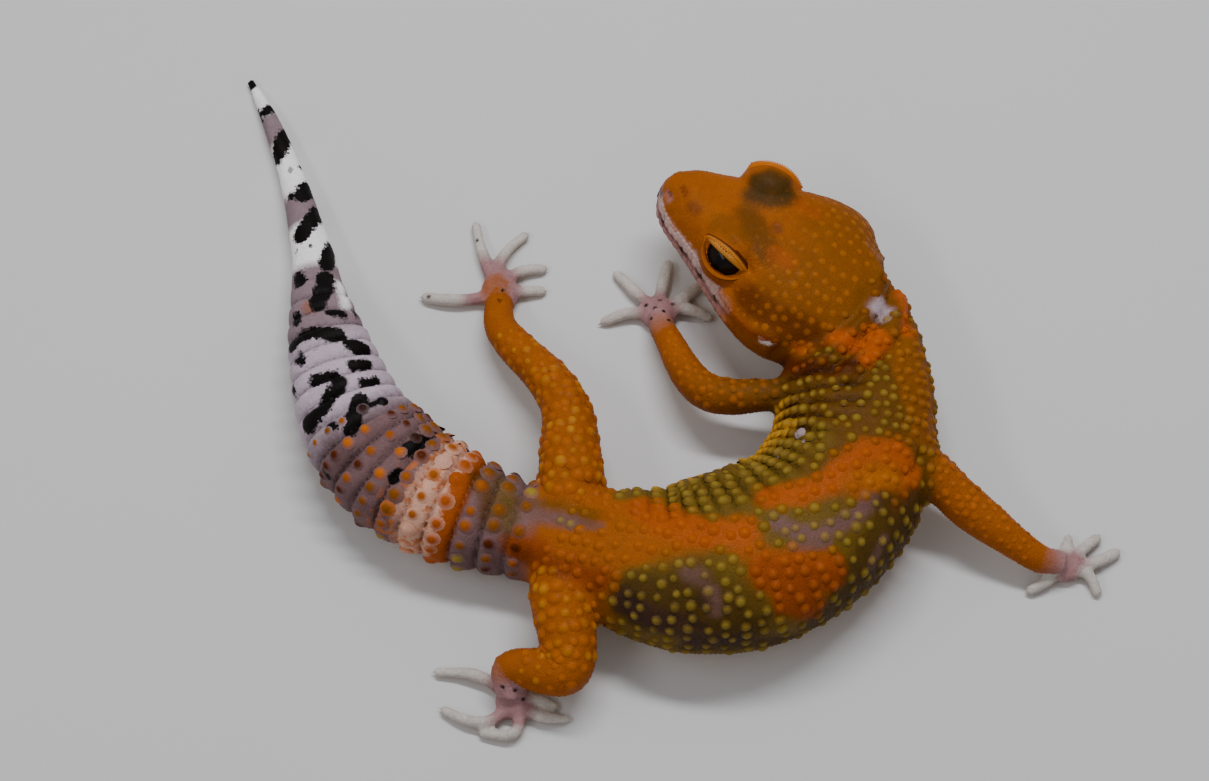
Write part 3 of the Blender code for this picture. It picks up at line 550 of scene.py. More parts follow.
# The flat layout of the skin: where a part starts from the left, its length, then the same from below
BODY_LAYOUT = (0.02, 0.96, 0.02, 0.44)
HEAD_LAYOUT = (0.02, 0.28, 0.52, 0.46)
LIMB_LAYOUT = (0.34, 0.11, 0.52, 0.46)
LIMB_LAYOUT_STEP = 0.16
BODY_LAYOUT_LENGTH = 130

# Rows of the lips' plates: height, half length, half width and pigment, then those at the snout
LIP_ROWS = ((0.62, 0.42, 0.36, "lip"), (1.3, 0.24, 0.22, "lip"), (-0.62, 0.46, 0.36, "pink_white"))
SNOUT_PLATES = (0.75, -0.7)

# Pigments of the tail's tubercles and how often each comes
TAIL_PIGMENTS = ("orange", "brown", "yellow", "dark_brown", "dome_orange")
TAIL_PIGMENT_SHARES = (0.22, 0.4, 0.12, 0.16, 0.1)

# Tubercles of the tail, the head and the limbs: distance apart, radius, and height as a share of it
TAIL_DOMES = (1.95, 0.6, 0.62)
HEAD_DOMES = (1.42, 0.37, 0.26)
FORE_DOMES, HIND_DOMES = (1.2, 0.36, 0.5), (1.35, 0.5, 0.5)

# The least distance between tubercles as a share of their spacing: between creases, on the neck, on the back
PACKED_GAP, NECK_GAP, BACK_GAP = 0.62, 0.66, 0.74

# Granules: radius as a share of their spacing, and height as a share of the radius
GRANULE_RADIUS, GRANULE_HEIGHT = 0.52, 0.36

# How far the scales keep off the lids' opening: at its corners, above and below
LID_REACH = (LID_MARGINS[0], LID_MARGINS[0] + 0.1, LID_MARGINS[1] + 0.15)

# How far a scale and a lip plate may lie from the place they were planned at
ROOT_REACH, LIP_REACH = 1.2, 1.6

# Rows of scales lie this share of their spacing apart, and the size of one on the flat layout
RING_SHARE = 0.87
PATCH_SIZE = 0.003

# Lights: name, place, length and share of the main light's power
LIGHTS = (
    ("key_light", (0.03, 0.16, 0.42), 0.32, 1.0),
    ("fill_light", (-0.28, -0.1, 0.35), 0.4, 0.25),
)
LIGHT_NARROWNESS = 0.16


def smooth_step(low, high, value):
    share = np.clip((value - low) / (high - low), 0.0, 1.0)
    return share * share * (3 - 2 * share)


def between(value, rise, fall):
    """A share that rises softly over one span of the values and falls again over another."""
    return smooth_step(*rise, value) * (1 - smooth_step(*fall, value))


def peak(value, middle, reach):
    """A share that is 1 at a middle value and falls away softly on both sides of it."""
    return np.exp(-(((value - middle) / reach) ** 2))


def to_frame(points):
    return (np.asarray(points, float) - MIDDLE) * MM


def linear(color):
    """A colour named by its look on screen, 0 to 255, as Blender keeps it."""
    share = np.asarray(color, float) / 255
    return np.where(share <= 0.04045, share / 12.92, ((share + 0.055) / 1.055) ** 2.4)


def pigment(name):
    return linear(PIGMENTS[name])


def solid(name):
    return (*pigment(name), 1.0)


def mix(colors, color, share):
    return colors * (1 - share[:, None]) + np.asarray(color) * share[:, None]


def read_table(table, at):
    """The columns of a table of stations, read smoothly along its first column."""
    rows = np.asarray(table, float)
    at = np.clip(np.atleast_1d(np.asarray(at, float)), rows[0, 0], rows[-1, 0])
    i = np.clip(np.searchsorted(rows[:, 0], at, side="right") - 1, 0, len(rows) - 2)
    before, start, end = rows[np.maximum(i - 1, 0)], rows[i], rows[i + 1]
    after = rows[np.minimum(i + 2, len(rows) - 1)]
    span = end[:, :1] - start[:, :1]
    t = (at[:, None] - start[:, :1]) / span
    slope_in = (end[:, 1:] - before[:, 1:]) / (end[:, :1] - before[:, :1]) * span
    slope_out = (after[:, 1:] - start[:, 1:]) / (after[:, :1] - start[:, :1]) * span
    return (
        (2 * t**3 - 3 * t**2 + 1) * start[:, 1:]
        + (t**3 - 2 * t**2 + t) * slope_in
        + (3 * t**2 - 2 * t**3) * end[:, 1:]
        + (t**3 - t**2) * slope_out
    )


def walk_spine():
    """The spine's points at even steps: x, y and the direction of travel in radians."""
    turns = []
    for length, turn in SPINE_RUNS:
        steps = round(length / SPINE_STEP)
        turns += [math.radians(turn) / steps] * steps
    heading = math.radians(SPINE_HEADING) + np.concatenate([[0.0], np.cumsum(turns)])
    x = SPINE_START[0] + np.concatenate([[0.0], np.cumsum(SPINE_STEP * np.cos(heading[1:]))])
    y = SPINE_START[1] + np.concatenate([[0.0], np.cumsum(SPINE_STEP * np.sin(heading[1:]))])
    return np.stack([x, y, heading], 1)


SPINE = walk_spine()
SPINE_LENGTH = (len(SPINE) - 1) * SPINE_STEP


def spine_at(s):
    i = np.clip(np.asarray(s, float) / SPINE_STEP, 0, len(SPINE) - 1.001)
    low = i.astype(int)
    share = (i - low)[..., None]
    return SPINE[low] * (1 - share) + SPINE[low + 1] * share


def signed_power(value, power):
    return np.sign(value) * np.abs(value) ** power


def body_surface(s, angle, swell=1.0):
    """Points of the trunk's and tail's skin; angle 0 is the left side and 90 degrees the back."""
    s, angle = np.broadcast_arrays(np.asarray(s, float), angle)
    x, y, heading = np.moveaxis(spine_at(s), -1, 0)
    skew = np.clip(1 - (s - NECK_START) / (NECK_SKEW_END - NECK_START), 0, 1)
    heading = heading + math.radians(NECK_SKEW) * skew
    width, back, under = np.moveaxis(read_table(BODY_STATIONS, s.ravel()).reshape(*s.shape, 3), -1, 0)
    across = width * swell * signed_power(np.cos(angle), 2 / BODY_ROUNDNESS)
    z = (back + under) / 2 + (back - under) / 2 * swell * signed_power(np.sin(angle), 2 / BODY_ROUNDNESS)
    return np.stack([x + np.sin(heading) * across, y - np.cos(heading) * across, z], -1)


def head_axes():
    """The head's own axes in the plan: back, left and up."""
    level = math.cos(HEAD_PITCH)
    back = np.array((math.cos(HEAD_YAW) * level, math.sin(HEAD_YAW) * level, -math.sin(HEAD_PITCH)))
    level_left = np.cross(back, (0, 0, 1))
    level_left /= np.linalg.norm(level_left)
    level_up = np.cross(level_left, back)
    left = level_left * math.cos(HEAD_ROLL) + level_up * math.sin(HEAD_ROLL)
    up = level_up * math.cos(HEAD_ROLL) - level_left * math.sin(HEAD_ROLL)
    return np.stack([back, left, up])


HEAD_AXES = head_axes()


def head_place(place, side=1):
    """A place given in the head's frame, on its left with side 1 or mirrored on its right with -1."""
    return HEAD_SNOUT + (np.asarray(place, float) * (1, side, 1)) @ HEAD_AXES


def head_coordinates(points):
    return (points - HEAD_SNOUT) @ HEAD_AXES.T


def unit(vectors):
    return vectors / np.maximum(np.linalg.norm(vectors, axis=-1, keepdims=True), 1e-9)


def swelling(shape, behind, share):
    middle, reach, middle_share, share_reach, amount = shape
    return amount * np.exp(-(((behind - middle) / reach) ** 2) - ((share - middle_share) / share_reach) ** 2)


def head_surface(behind, angle):
    """Points of the head's skin; angle 0 is the left lip, 90 degrees the crown and 270 the throat."""
    behind, angle = np.broadcast_arrays(np.asarray(behind, float), angle)
    width, top, bottom = np.moveaxis(read_table(HEAD_RINGS, behind.ravel()).reshape(*behind.shape, 3), -1, 0)
    sine, cosine = np.sin(angle), np.cos(angle)
    upper = sine >= 0
    side = np.where(
        upper, signed_power(cosine, 2 / UPPER_SQUARENESS[0]), signed_power(cosine, 2 / LOWER_SQUARENESS[0])
    )
    rise = np.abs(sine) ** np.where(upper, 2 / UPPER_SQUARENESS[1], 2 / LOWER_SQUARENESS[1])
    lip = LIP_HEIGHT * np.clip(behind, 0, 1)
    above = lip * (1 - rise) + top * rise
    above += swelling(BROW_SWELLING, behind, np.abs(side)) - swelling(CROWN_HOLLOW, behind, side)
    across = width * side * (1 - HEAD_TAPER * rise) * (1 - swelling(CHEEK_HOLLOW, behind, rise))
    below = -lip * (1 - rise) + bottom * rise
    local = np.stack([behind, np.where(upper, across, width * side), np.where(upper, above, below)], -1)
    return HEAD_SNOUT + local @ HEAD_AXES


def stations_of(points):
    steps = [0.0] + [math.dist(a, b) for a, b in zip(points, points[1:])]
    return np.column_stack([np.cumsum(steps), points])


def radius_along(path, radii, at):
    return read_table(np.column_stack([path[:, 0], radii]), at)[:, 0]


def tube_rings(stations, radii, start, end, step=0.45, sides=20, rounded=False):
    """Rings of a tapered tube along a smooth path, with a round end where asked."""
    at = np.linspace(start, end, max(3, round((end - start) / step)) + 1)
    middle = read_table(stations, at)
    radius = radius_along(stations, radii, at)
    tangent = unit(np.gradient(middle, axis=0))
    if rounded:
        turn = np.linspace(0, math.pi / 2, 6)[1:-1]
        middle = np.vstack([middle, middle[-1] + np.outer(np.sin(turn), tangent[-1]) * radius[-1]])
        radius = np.concatenate([radius, radius[-1] * np.cos(turn)])
        tangent = np.vstack([tangent, np.repeat(tangent[-1:], len(turn), 0)])
    across = unit(np.cross(tangent, (0, 0, 1)))
    above = np.cross(across, tangent)
    angle = np.linspace(0, 2 * math.pi, sides, endpoint=False)[None, :, None]
    ring = np.cos(angle) * across[:, None] + np.sin(angle) * above[:, None]
    return middle[:, None] + ring * radius[:, None, None]


def toe_path(palm, toe):
    """A toe from inside the palm to its tip: its stations, arched a little and bent to the side."""
    root, tip = np.array(palm[0]), np.array((toe[0], toe[1], TOE_TIP_HEIGHT))
    way = tip - root
    share = np.linspace(TOE_ROOT_SHARE, 1, len(TOE_RADII))
    bow = np.sin(math.pi * share)[:, None]
    points = root + way * share[:, None] + np.array((-way[1], way[0], 0.0)) * toe[2] * bow
    points[:, 2] = TOE_HEIGHT + TOE_ARCH * bow[:, 0]
    return np.column_stack([share * np.linalg.norm(way), points])


def loft(rings):
    """A closed mesh of triangles through rings of points."""
    rings = np.asarray(rings, float)
    count, around = rings.shape[:2]
    points = np.vstack([rings.reshape(-1, 3), rings[0].mean(0), rings[-1].mean(0)])
    i, k = np.meshgrid(np.arange(count - 1), np.arange(around), indexing="ij")
    a, b = i * around + k, i * around + (k + 1) % around
    sides = np.stack([a, b, b + around, a, b + around, a + around], -1).reshape(-1, 3)
    k = np.arange(around)
    last = (count - 1) * around
    first_cap = np.stack([np.full(around, len(points) - 2), (k + 1) % around, k], -1)
    last_cap = np.stack([np.full(around, len(points) - 1), last + k, last + (k + 1) % around], -1)
    return points, np.vstack([sides, first_cap, last_cap])


def ellipsoid(center, axes, sides=28, rows=16):
    """A closed ellipsoid; the rows of axes are its half axes."""
    turn = np.linspace(0, math.pi, rows + 1)[1:-1, None]
    angle = np.linspace(0, 2 * math.pi, sides, endpoint=False)[None, :]
    out, up = np.sin(turn), np.cos(turn)
    ball = np.stack([out * np.cos(angle), out * np.sin(angle), up * np.ones_like(angle)], -1)
    return loft(np.asarray(center) + ball @ np.asarray(axes, float))


def joined(meshes):
    points, faces, total = [], [], 0
    for some_points, some_faces in meshes:
        points.append(some_points)
        faces.append(some_faces + total)
        total += len(some_points)
    return np.vstack(points), np.vstack(faces)


def new_piece(name, points, faces):
    """An object of its own, whose points are given in the plan."""
    mesh = bpy.data.meshes.new(name)
    mesh.vertices.add(len(points))
    mesh.vertices.foreach_set("co", to_frame(points).ravel())
    mesh.loops.add(faces.size)
    mesh.loops.foreach_set("vertex_index", faces.ravel())
    mesh.polygons.add(len(faces))
    mesh.polygons.foreach_set("loop_start", np.arange(0, faces.size, faces.shape[1]))
    mesh.update(calc_edges=True)
    mesh.validate()
    piece = bpy.data.objects.new(name, mesh)
    bpy.context.scene.collection.objects.link(piece)
    return piece


def finish_piece(piece, material):
    """Gives a piece its material and the body that it rides on."""
    piece.data.materials.clear()
    piece.data.materials.append(material)
    piece.data.shade_smooth()
    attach(piece, "root")


def select_only(obj):
    bpy.ops.object.select_all(action="DESELECT")
    obj.select_set(True)
    bpy.context.view_layer.objects.active = obj


def faces_outward(obj):
    select_only(obj)
    bpy.ops.object.mode_set(mode="EDIT")
    bpy.ops.mesh.select_all(action="SELECT")
    bpy.ops.mesh.normals_make_consistent(inside=False)
    bpy.ops.object.mode_set(mode="OBJECT")


def read_values(items, key, width, kind=float):
    """A value of every item of a mesh, as rows of its numbers."""
    flat = np.empty(len(items) * width, kind)
    items.foreach_get(key, flat)
    return flat.reshape(-1, width)


def local_points(obj):
    return read_values(obj.data.vertices, "co", 3) / MM


def points_of(obj):
    return local_points(obj) + MIDDLE


def move_points(obj, points):
    obj.data.vertices.foreach_set("co", to_frame(points).ravel())
    obj.data.update()


def normals_of(obj):
    return read_values(obj.data.vertices, "normal", 3)


def above_floor(points, floor=0.0):
    points[:, 2] = np.maximum(points[:, 2], floor)
    return points


def stretch(points, place, back=False):
    """Moves points away from a place, so that a mesh made of even cells is finer there, or back."""
    middle, inner, outer, much = place
    away = points - np.array(middle)
    distance = np.maximum(np.linalg.norm(away, axis=1), 1e-9)
    plain, finer = (0.0, inner, outer, FAR_AWAY), (0.0, inner * much, outer, FAR_AWAY)
    moved = np.interp(distance, finer, plain) if back else np.interp(distance, plain, finer)
    return middle + away * (moved / distance)[:, None]


def relax(points, edges, rounds, share, spread=None):
    """Evens out a mesh; without a spread, each step in has a step out after it, which keeps its size."""
    both = np.vstack([edges, edges[:, ::-1]])
    both = both[np.argsort(both[:, 0], kind="stable")]
    starts = np.searchsorted(both[:, 0], np.arange(len(points)))
    count = np.diff(np.append(starts, len(both)))[:, None]
    for turn in range(2 * rounds):
        mean = np.add.reduceat(points[both[:, 1]], starts, axis=0) / count
        step = share if turn % 2 == 0 else -share * STEP_OUT
        if spread is not None:
            step = share * spread[:, None]
        points = points + (mean - points) * step
    return points


def nearest(tree, points):
    """The index of and the distance to a tree's point that is nearest to each of these."""
    found = [tree.find(point)[1:] for point in points]
    return np.array([item[0] for item in found]), np.array([item[1] for item in found])


def tree_of(points):
    tree = KDTree(len(points))
    for index, point in enumerate(points):
        tree.insert(point, index)
    tree.balance()
    return tree


def whorl_number(s):
    """How many rings of the tail lie before a place, the part of one included."""
    return np.interp(s, WHORL_PLACES, WHORL_COUNTS)


def flank_skew(s, left):
    """How far the rows of the inner flank lean back towards the belly's edge."""
    return FLANK_SKEW * smooth_step(26, 36, s) * left


def limb_samples():
    """Points along the limbs: place, radius, limb number, share of the way to the wrist, share of the toe."""
    samples = []
    for number, limb in enumerate(LIMBS.values()):
        stations = stations_of(limb["points"])
        at = np.arange(0, stations[-1, 0], SAMPLE_STEP)
        paths = [(stations, limb["radii"], at, np.clip(at / stations[WRIST, 0], 0, TOE_SHARE), 0 * at)]
        for toe in limb["toes"]:
            path = toe_path(limb["palm"], toe)
            at = np.arange(path[0, 0], path[-1, 0] + 0.3, SAMPLE_STEP)
            paths.append((path, TOE_RADII, at, TOE_SHARE + 0 * at, np.linspace(0, 1, len(at))))
        for path, radii, at, *shares in paths:
            radius = radius_along(path, radii, at)
            samples.append(np.column_stack([read_table(path, at), radius, np.full(len(at), number), *shares]))
    return np.vstack(samples)


LIMB_SAMPLES = limb_samples()


def lay_out(layout, along, up, side):
    """Places on the flat layout of the skin, from the share along a part and the direction round it."""
    left, length, low, height = layout
    turn = (np.arctan2(up, side) / (2 * math.pi)) % 1.0
    return np.stack([left + length * along, low + height * turn], 1)


class Places:
    """Where points lie on the animal: along the spine, in the head's frame and along the limbs."""

    def __init__(self, points):
        self.points = points
        spine = SPINE[::SPINE_SKIP]
        index, _ = nearest(tree_of(spine * (1, 1, 0)), points * (1, 1, 0))
        x, y, heading = spine[index].T
        away = points[:, :2] - np.stack([x, y], 1)
        self.s = index * SPINE_SKIP * SPINE_STEP + away[:, 0] * np.cos(heading) + away[:, 1] * np.sin(heading)
        self.left = away[:, 0] * np.sin(heading) - away[:, 1] * np.cos(heading)
        self.width, back, under = read_table(BODY_STATIONS, self.s).T
        self.side = self.left / self.width
        self.rise = (points[:, 2] - (back + under) / 2) / ((back - under) / 2)
        self.off_body = np.hypot(self.side, self.rise)

        self.behind, self.head_left, self.head_up = head_coordinates(points).T
        from_middle = np.hypot(points[:, 0] - HEAD_MIDDLE[0], points[:, 1] - HEAD_MIDDLE[1])
        self.on_head = 1 - smooth_step(*HEAD_END, self.behind)
        self.on_head *= smooth_step(*HEAD_REACH, -from_middle)
        self.on_head *= 1 - smooth_step(*HEAD_SIDES, np.abs(self.head_left))

        index, distance = nearest(tree_of(LIMB_SAMPLES[:, :3]), points)
        radius, limb, self.limb_share, self.toe_share = LIMB_SAMPLES[index, 3:].T
        self.limb = limb.astype(int)
        self.off_limb = distance / radius
        palm = PALM_ALLOWANCE * (self.limb_share > PALM_FROM)
        self.on_limb = smooth_step(*LIMB_BORDER, self.off_body - np.maximum(self.off_limb - palm, 1.0))
        self.on_limb[self.on_head > 0.5] *= self.limb_share[self.on_head > 0.5] > 0.75
        self.on_head = self.on_head * (1 - self.on_limb)
        self.on_body = (1 - self.on_limb) * (1 - self.on_head)

        self.whorl_phase = whorl_number(self.s + noise_at(points, "ring_place")) % 1.0
        self.on_tail = between(self.s, *RINGED_TAIL) * self.on_body
        wave = self.s - flank_skew(self.s, self.left) + noise_at(points, "crease_place")
        crease = (0.5 - 0.5 * np.cos(2 * math.pi * (wave - CREASE_FROM) / CREASE_LENGTH)) ** 4
        across = self.side + 0.5 * (1 - smooth_step(13, 21, self.s))
        inner = smooth_step(0.15, 0.6, across) * smooth_step(CREASE_FROM - 4, CREASE_FROM + 2, self.s)
        self.crease = crease * inner * (1 - smooth_step(CREASE_TO - 2, CREASE_TO + 2, self.s)) * self.on_body

    def off_groove(self):
        """How far points lie from the groove between two rings of the tail, as a share of a ring."""
        return np.minimum(self.whorl_phase, 1 - self.whorl_phase)

    def unwrap(self, normals):
        """Where points lie on a flat layout of the skin: trunk and tail below, head and limbs above."""
        body = lay_out(BODY_LAYOUT, np.clip(self.s / BODY_LAYOUT_LENGTH, 0, 1), self.rise, self.side)
        along = np.clip(self.behind / HEAD_LENGTH, 0, 1)
        head = lay_out(HEAD_LAYOUT, along, self.head_up, self.head_left)
        along = np.clip(self.limb_share, 0, 1.3)
        limb = lay_out(LIMB_LAYOUT, along, normals[:, 2], normals[:, 0] + normals[:, 1])
        limb[:, 0] += LIMB_LAYOUT_STEP * self.limb
        body = np.where(self.on_head[:, None] > 0.5, head, body)
        return np.where(self.on_limb[:, None] > 0.5, limb, body)


def cast(tree, pixels):
    """The places where the camera's rays through some pixels meet the skin."""
    eye = VIEW_TARGET + VIEW_BACK * VIEW_DISTANCE
    reach = VIEW_SCALE * VIEW_DISTANCE
    hits = []
    for u, v in pixels:
        right, down = u - VIEW_SIZE[0] / 2, v - VIEW_SIZE[1] / 2
        ray = VIEW_RIGHT * right / reach - VIEW_UP * down / reach - VIEW_BACK
        hit = tree.ray_cast(Vector(eye), Vector(ray).normalized())[0]
        if hit:
            hits.append(tuple(hit))
    return np.array(hits).reshape(-1, 3)


def stroke(tree, pixels):
    """Closely set places on the skin along a line through some pixels."""
    dense = [pixels[0]]
    for a, b in zip(pixels, pixels[1:]):
        count = max(1, round(math.dist(a, b) / STROKE_STEP))
        for k in range(1, count + 1):
            dense.append((a[0] + (b[0] - a[0]) * k / count, a[1] + (b[1] - a[1]) * k / count))
    return cast(tree, dense)


def distance_to(points, places, reach):
    """How far points lie from the nearest of some places; those beyond reach keep that value."""
    far = np.full(len(points), float(reach))
    if not len(places):
        return far
    near = np.all((points > places.min(0) - reach) & (points < places.max(0) + reach), axis=1)
    chosen = points[near]
    if len(chosen):
        gaps = np.linalg.norm(chosen[:, None] - places[None], axis=2).min(1)
        far[near] = np.minimum(gaps, reach)
    return far


def noise_at(points, name):
    """One of the soft noises, from about minus its amount to plus its amount."""
    size, seed, amount = NOISES[name]
    return amount * np.array([noise.noise(Vector(point)) for point in points / size + seed * SEED_STEP])


def ground_of(table, at):
    """Colours between stops along a line, each stop a place and a pigment."""
    stops = np.array([stop[0] for stop in table])
    colors = np.array([pigment(stop[1]) for stop in table])
    return np.stack([np.interp(at, stops, colors[:, i]) for i in range(3)], 1)


def paint_lips(colors, points, places):
    """The pale lips, with a few dark marks where they meet."""
    reach = places.on_head * (1 - smooth_step(MOUTH_CORNER - 2.5, MOUTH_CORNER, places.behind))
    rise = places.head_up + noise_at(points, "lip_edge")
    width = 1.5 - 0.3 * smooth_step(0, 3, places.behind) + 0.35 * smooth_step(3, 9, places.behind)
    upper = between(rise, LIP_LINE, (width - LIP_SOFTNESS, width + LIP_SOFTNESS)) * reach
    lower = between(rise, LOWER_LIP, LIP_LINE) * reach
    colors = mix(mix(colors, pigment("lip"), upper), pigment("flesh"), lower * LOWER_LIP_TINT)
    for behind, length in LIP_MARKS:
        mark = np.exp(-(((places.behind - behind) / length) ** 2) - (((places.head_up - 0.1) / 0.4) ** 2))
        mark = np.clip(mark * 1.6, 0, 1) * reach * (np.abs(places.head_left) > 0.8)
        colors = mix(colors, pigment("soot"), mark)
    return colors


def paint_skin(points, normals, places, tree):
    """The skin's ground colour and its distance from the nearest dark blot."""
    shift = noise_at(points, "ground_shift")
    colors = ground_of(SPINE_GROUND, places.s + shift * 0.6)
    for number, table in enumerate(LIMB_GROUND.values()):
        along = ground_of(table, places.limb_share + places.toe_share * 0.8 + shift * 0.03)
        colors = mix(colors, along, places.on_limb * (places.limb == number))
    rear = smooth_step(11, 20, places.behind)
    head = mix(np.tile(pigment("orange"), (len(points), 1)), pigment("brown"), rear * HEAD_TINT)
    colors = paint_lips(mix(colors, head, places.on_head), points, places)
    freckle = smooth_step(0.0, 0.3, noise_at(points, "freckles")) * between(places.s, *FRECKLED_TAIL)
    colors = mix(colors, pigment("dome_orange"), freckle * places.on_body * FRECKLE_TINT)
    under = 1 - smooth_step(-0.75, -0.2, normals[:, 2])
    colors = mix(colors, pigment("cream"), under * UNDERSIDE_TINT)
    edge = noise_at(points, "patch_edge") + noise_at(points, "fine_patch_edge")
    for name, strength, radius, pixels in PATCHES:
        radius /= VIEW_SCALE
        ragged = edge * min(1.1, radius * 0.35)
        away = distance_to(points, stroke(tree, pixels), radius + 1.8) - radius + ragged
        soft = min(0.85, radius * 0.7)
        colors = mix(colors, pigment(name), strength * (1 - smooth_step(-soft, soft, away)))
    # Painted shade in the grooves between the tail's rings and in the inner flank's creases, multiplied with
    # the skin's own mottle
    grooves = np.clip(1 - places.off_groove() / 0.2, 0, 1) ** 2 * places.on_tail
    dark = 1 - GROOVE_SHADE * grooves - CREASE_SHADE * places.crease
    mottle = dark * (1 + noise_at(points, "mottle") + noise_at(points, "broad_mottle"))
    colors = np.clip(colors * mottle[:, None], 0.0, 1.0)
    blot = np.full(len(points), BLOT_FAR)
    for radius, pixels in BLOTS:
        radius = radius / VIEW_SCALE * BLOT_GROWTH
        blot = np.minimum(blot, distance_to(points, stroke(tree, pixels), radius + BLOT_FAR) - radius)
    return colors, blot


def set_attributes(mesh, colors, blot):
    rgba = np.column_stack([colors, np.ones(len(colors))]).astype(np.float32)
    ground = mesh.attributes.new("ground", "FLOAT_COLOR", "POINT")
    ground.data.foreach_set("color", rgba.ravel())
    marks = mesh.attributes.new("blot", "FLOAT", "POINT")
    marks.data.foreach_set("value", np.asarray(blot, np.float32))


def skin_sources():
    """The closed shapes whose union is the skin."""
    s = np.append(np.arange(0.4, SPINE_LENGTH, 0.5), SPINE_LENGTH)
    angle = np.linspace(0, 2 * math.pi, 64, endpoint=False)
    swell = np.where(s < NECK_START, 0.82 + 0.18 * s / NECK_START, 1.0)
    rings = body_surface(s[:, None], angle[None, :], swell[:, None])
    turn = np.linspace(0, math.pi / 2, 5)[1:-1]
    tip = rings[-1].mean(0) + (rings[-1] - rings[-1].mean(0)) * np.cos(turn)[:, None, None]
    heading = SPINE[-1, 2]
    tip += np.array((math.cos(heading), math.sin(heading), 0)) * 0.45 * np.sin(turn)[:, None, None]
    meshes = [loft(np.vstack([rings, tip]))]
    behind = np.append([0.0, 0.25, 0.5], np.arange(0.8, HEAD_LENGTH - 1.5, 0.4))
    meshes.append(loft(head_surface(behind[:, None], angle[None, :])))
    for side in (1, -1):
        meshes.append(ellipsoid(eye_frame(side)[0], HEAD_AXES * ORBIT_RADIUS * ORBIT_GROWTH[side]))
    for limb in LIMBS.values():
        stations = stations_of(limb["points"])
        meshes.append(loft(tube_rings(stations, limb["radii"], 0.0, stations[-1, 0], sides=28)))
        meshes.append(ellipsoid(limb["palm"][0], np.diag(limb["palm"][1])))
        for toe in limb["toes"]:
            path = toe_path(limb["palm"], toe)
            meshes.append(loft(tube_rings(path, TOE_RADII, path[0, 0], path[-1, 0], sides=16, rounded=True)))
    return joined(meshes)


def eye_frame(side):
    """The eye's middle and its axes: along the lids, up over the eyeball, and outward."""
    outward = unit(np.asarray(EYE_OUTWARD, float) * (1, side, 1)) @ HEAD_AXES
    level = unit(HEAD_AXES[0] - outward * (HEAD_AXES[0] @ outward))
    over = np.cross(outward, level) * side
    along = level * math.cos(LID_TILT) - over * math.sin(LID_TILT)
    over = over * math.cos(LID_TILT) + level * math.sin(LID_TILT)
    return head_place(np.array(EYE_PLACE) + EYE_SHIFTS[side], side), along, over, outward


def lid_ring(side):
    """A pair of lids as one closed ring, pointed at both corners of the eye."""
    center, along, over, outward = eye_frame(side)
    angle = np.linspace(0, 2 * math.pi, LID_SIDES, endpoint=False)
    upper = np.sin(angle) >= 0
    bulge = np.sin(angle) * np.abs(np.sin(angle)) ** 0.25
    opening = np.where(upper, LID_OPENING[1], LID_OPENING[2])
    margin = LID_MARGINS[1] + (LID_MARGINS[0] - LID_MARGINS[1]) * smooth_step(-0.2, 0.5, np.sin(angle))
    rows = []
    for share, radius in LID_PROFILE:
        radius *= 1 + (LID_SWELL[side] - 1) * smooth_step(0.0, 0.6, share)
        x = np.cos(angle) * (LID_OPENING[0] + margin * share * 0.7)
        y = bulge * (opening + margin * share)
        z = np.sqrt(np.maximum(radius**2 - x**2 - y**2, 0.2))
        rows.append(center + x[:, None] * along + y[:, None] * over + z[:, None] * outward)
    inside = center + (rows[-1] - center) * 0.82
    points = np.vstack([*rows, inside])
    count = len(rows) + 1
    faces = []
    for row in range(count):
        for k in range(LID_SIDES):
            a, b = row * LID_SIDES + k, row * LID_SIDES + (k + 1) % LID_SIDES
            c, d = (row + 1) % count * LID_SIDES + (k + 1) % LID_SIDES, (row + 1) % count * LID_SIDES + k
            faces.append((a, b, c, d))
    return points, np.array(faces)


def in_lids(points, side, grow):
    """Which points lie inside the lids' opening, grown at its corners, above and below."""
    center, along, over, outward = eye_frame(side)
    away = points - center
    y = away @ over
    height = np.where(y > 0, LID_OPENING[1] + grow[1], LID_OPENING[2] + grow[2])
    inside = ((away @ along) / (LID_OPENING[0] + grow[0])) ** 2 + (y / height) ** 2
    return (inside < 1) & (away @ outward > 0) & (np.linalg.norm(away, axis=1) < 5)


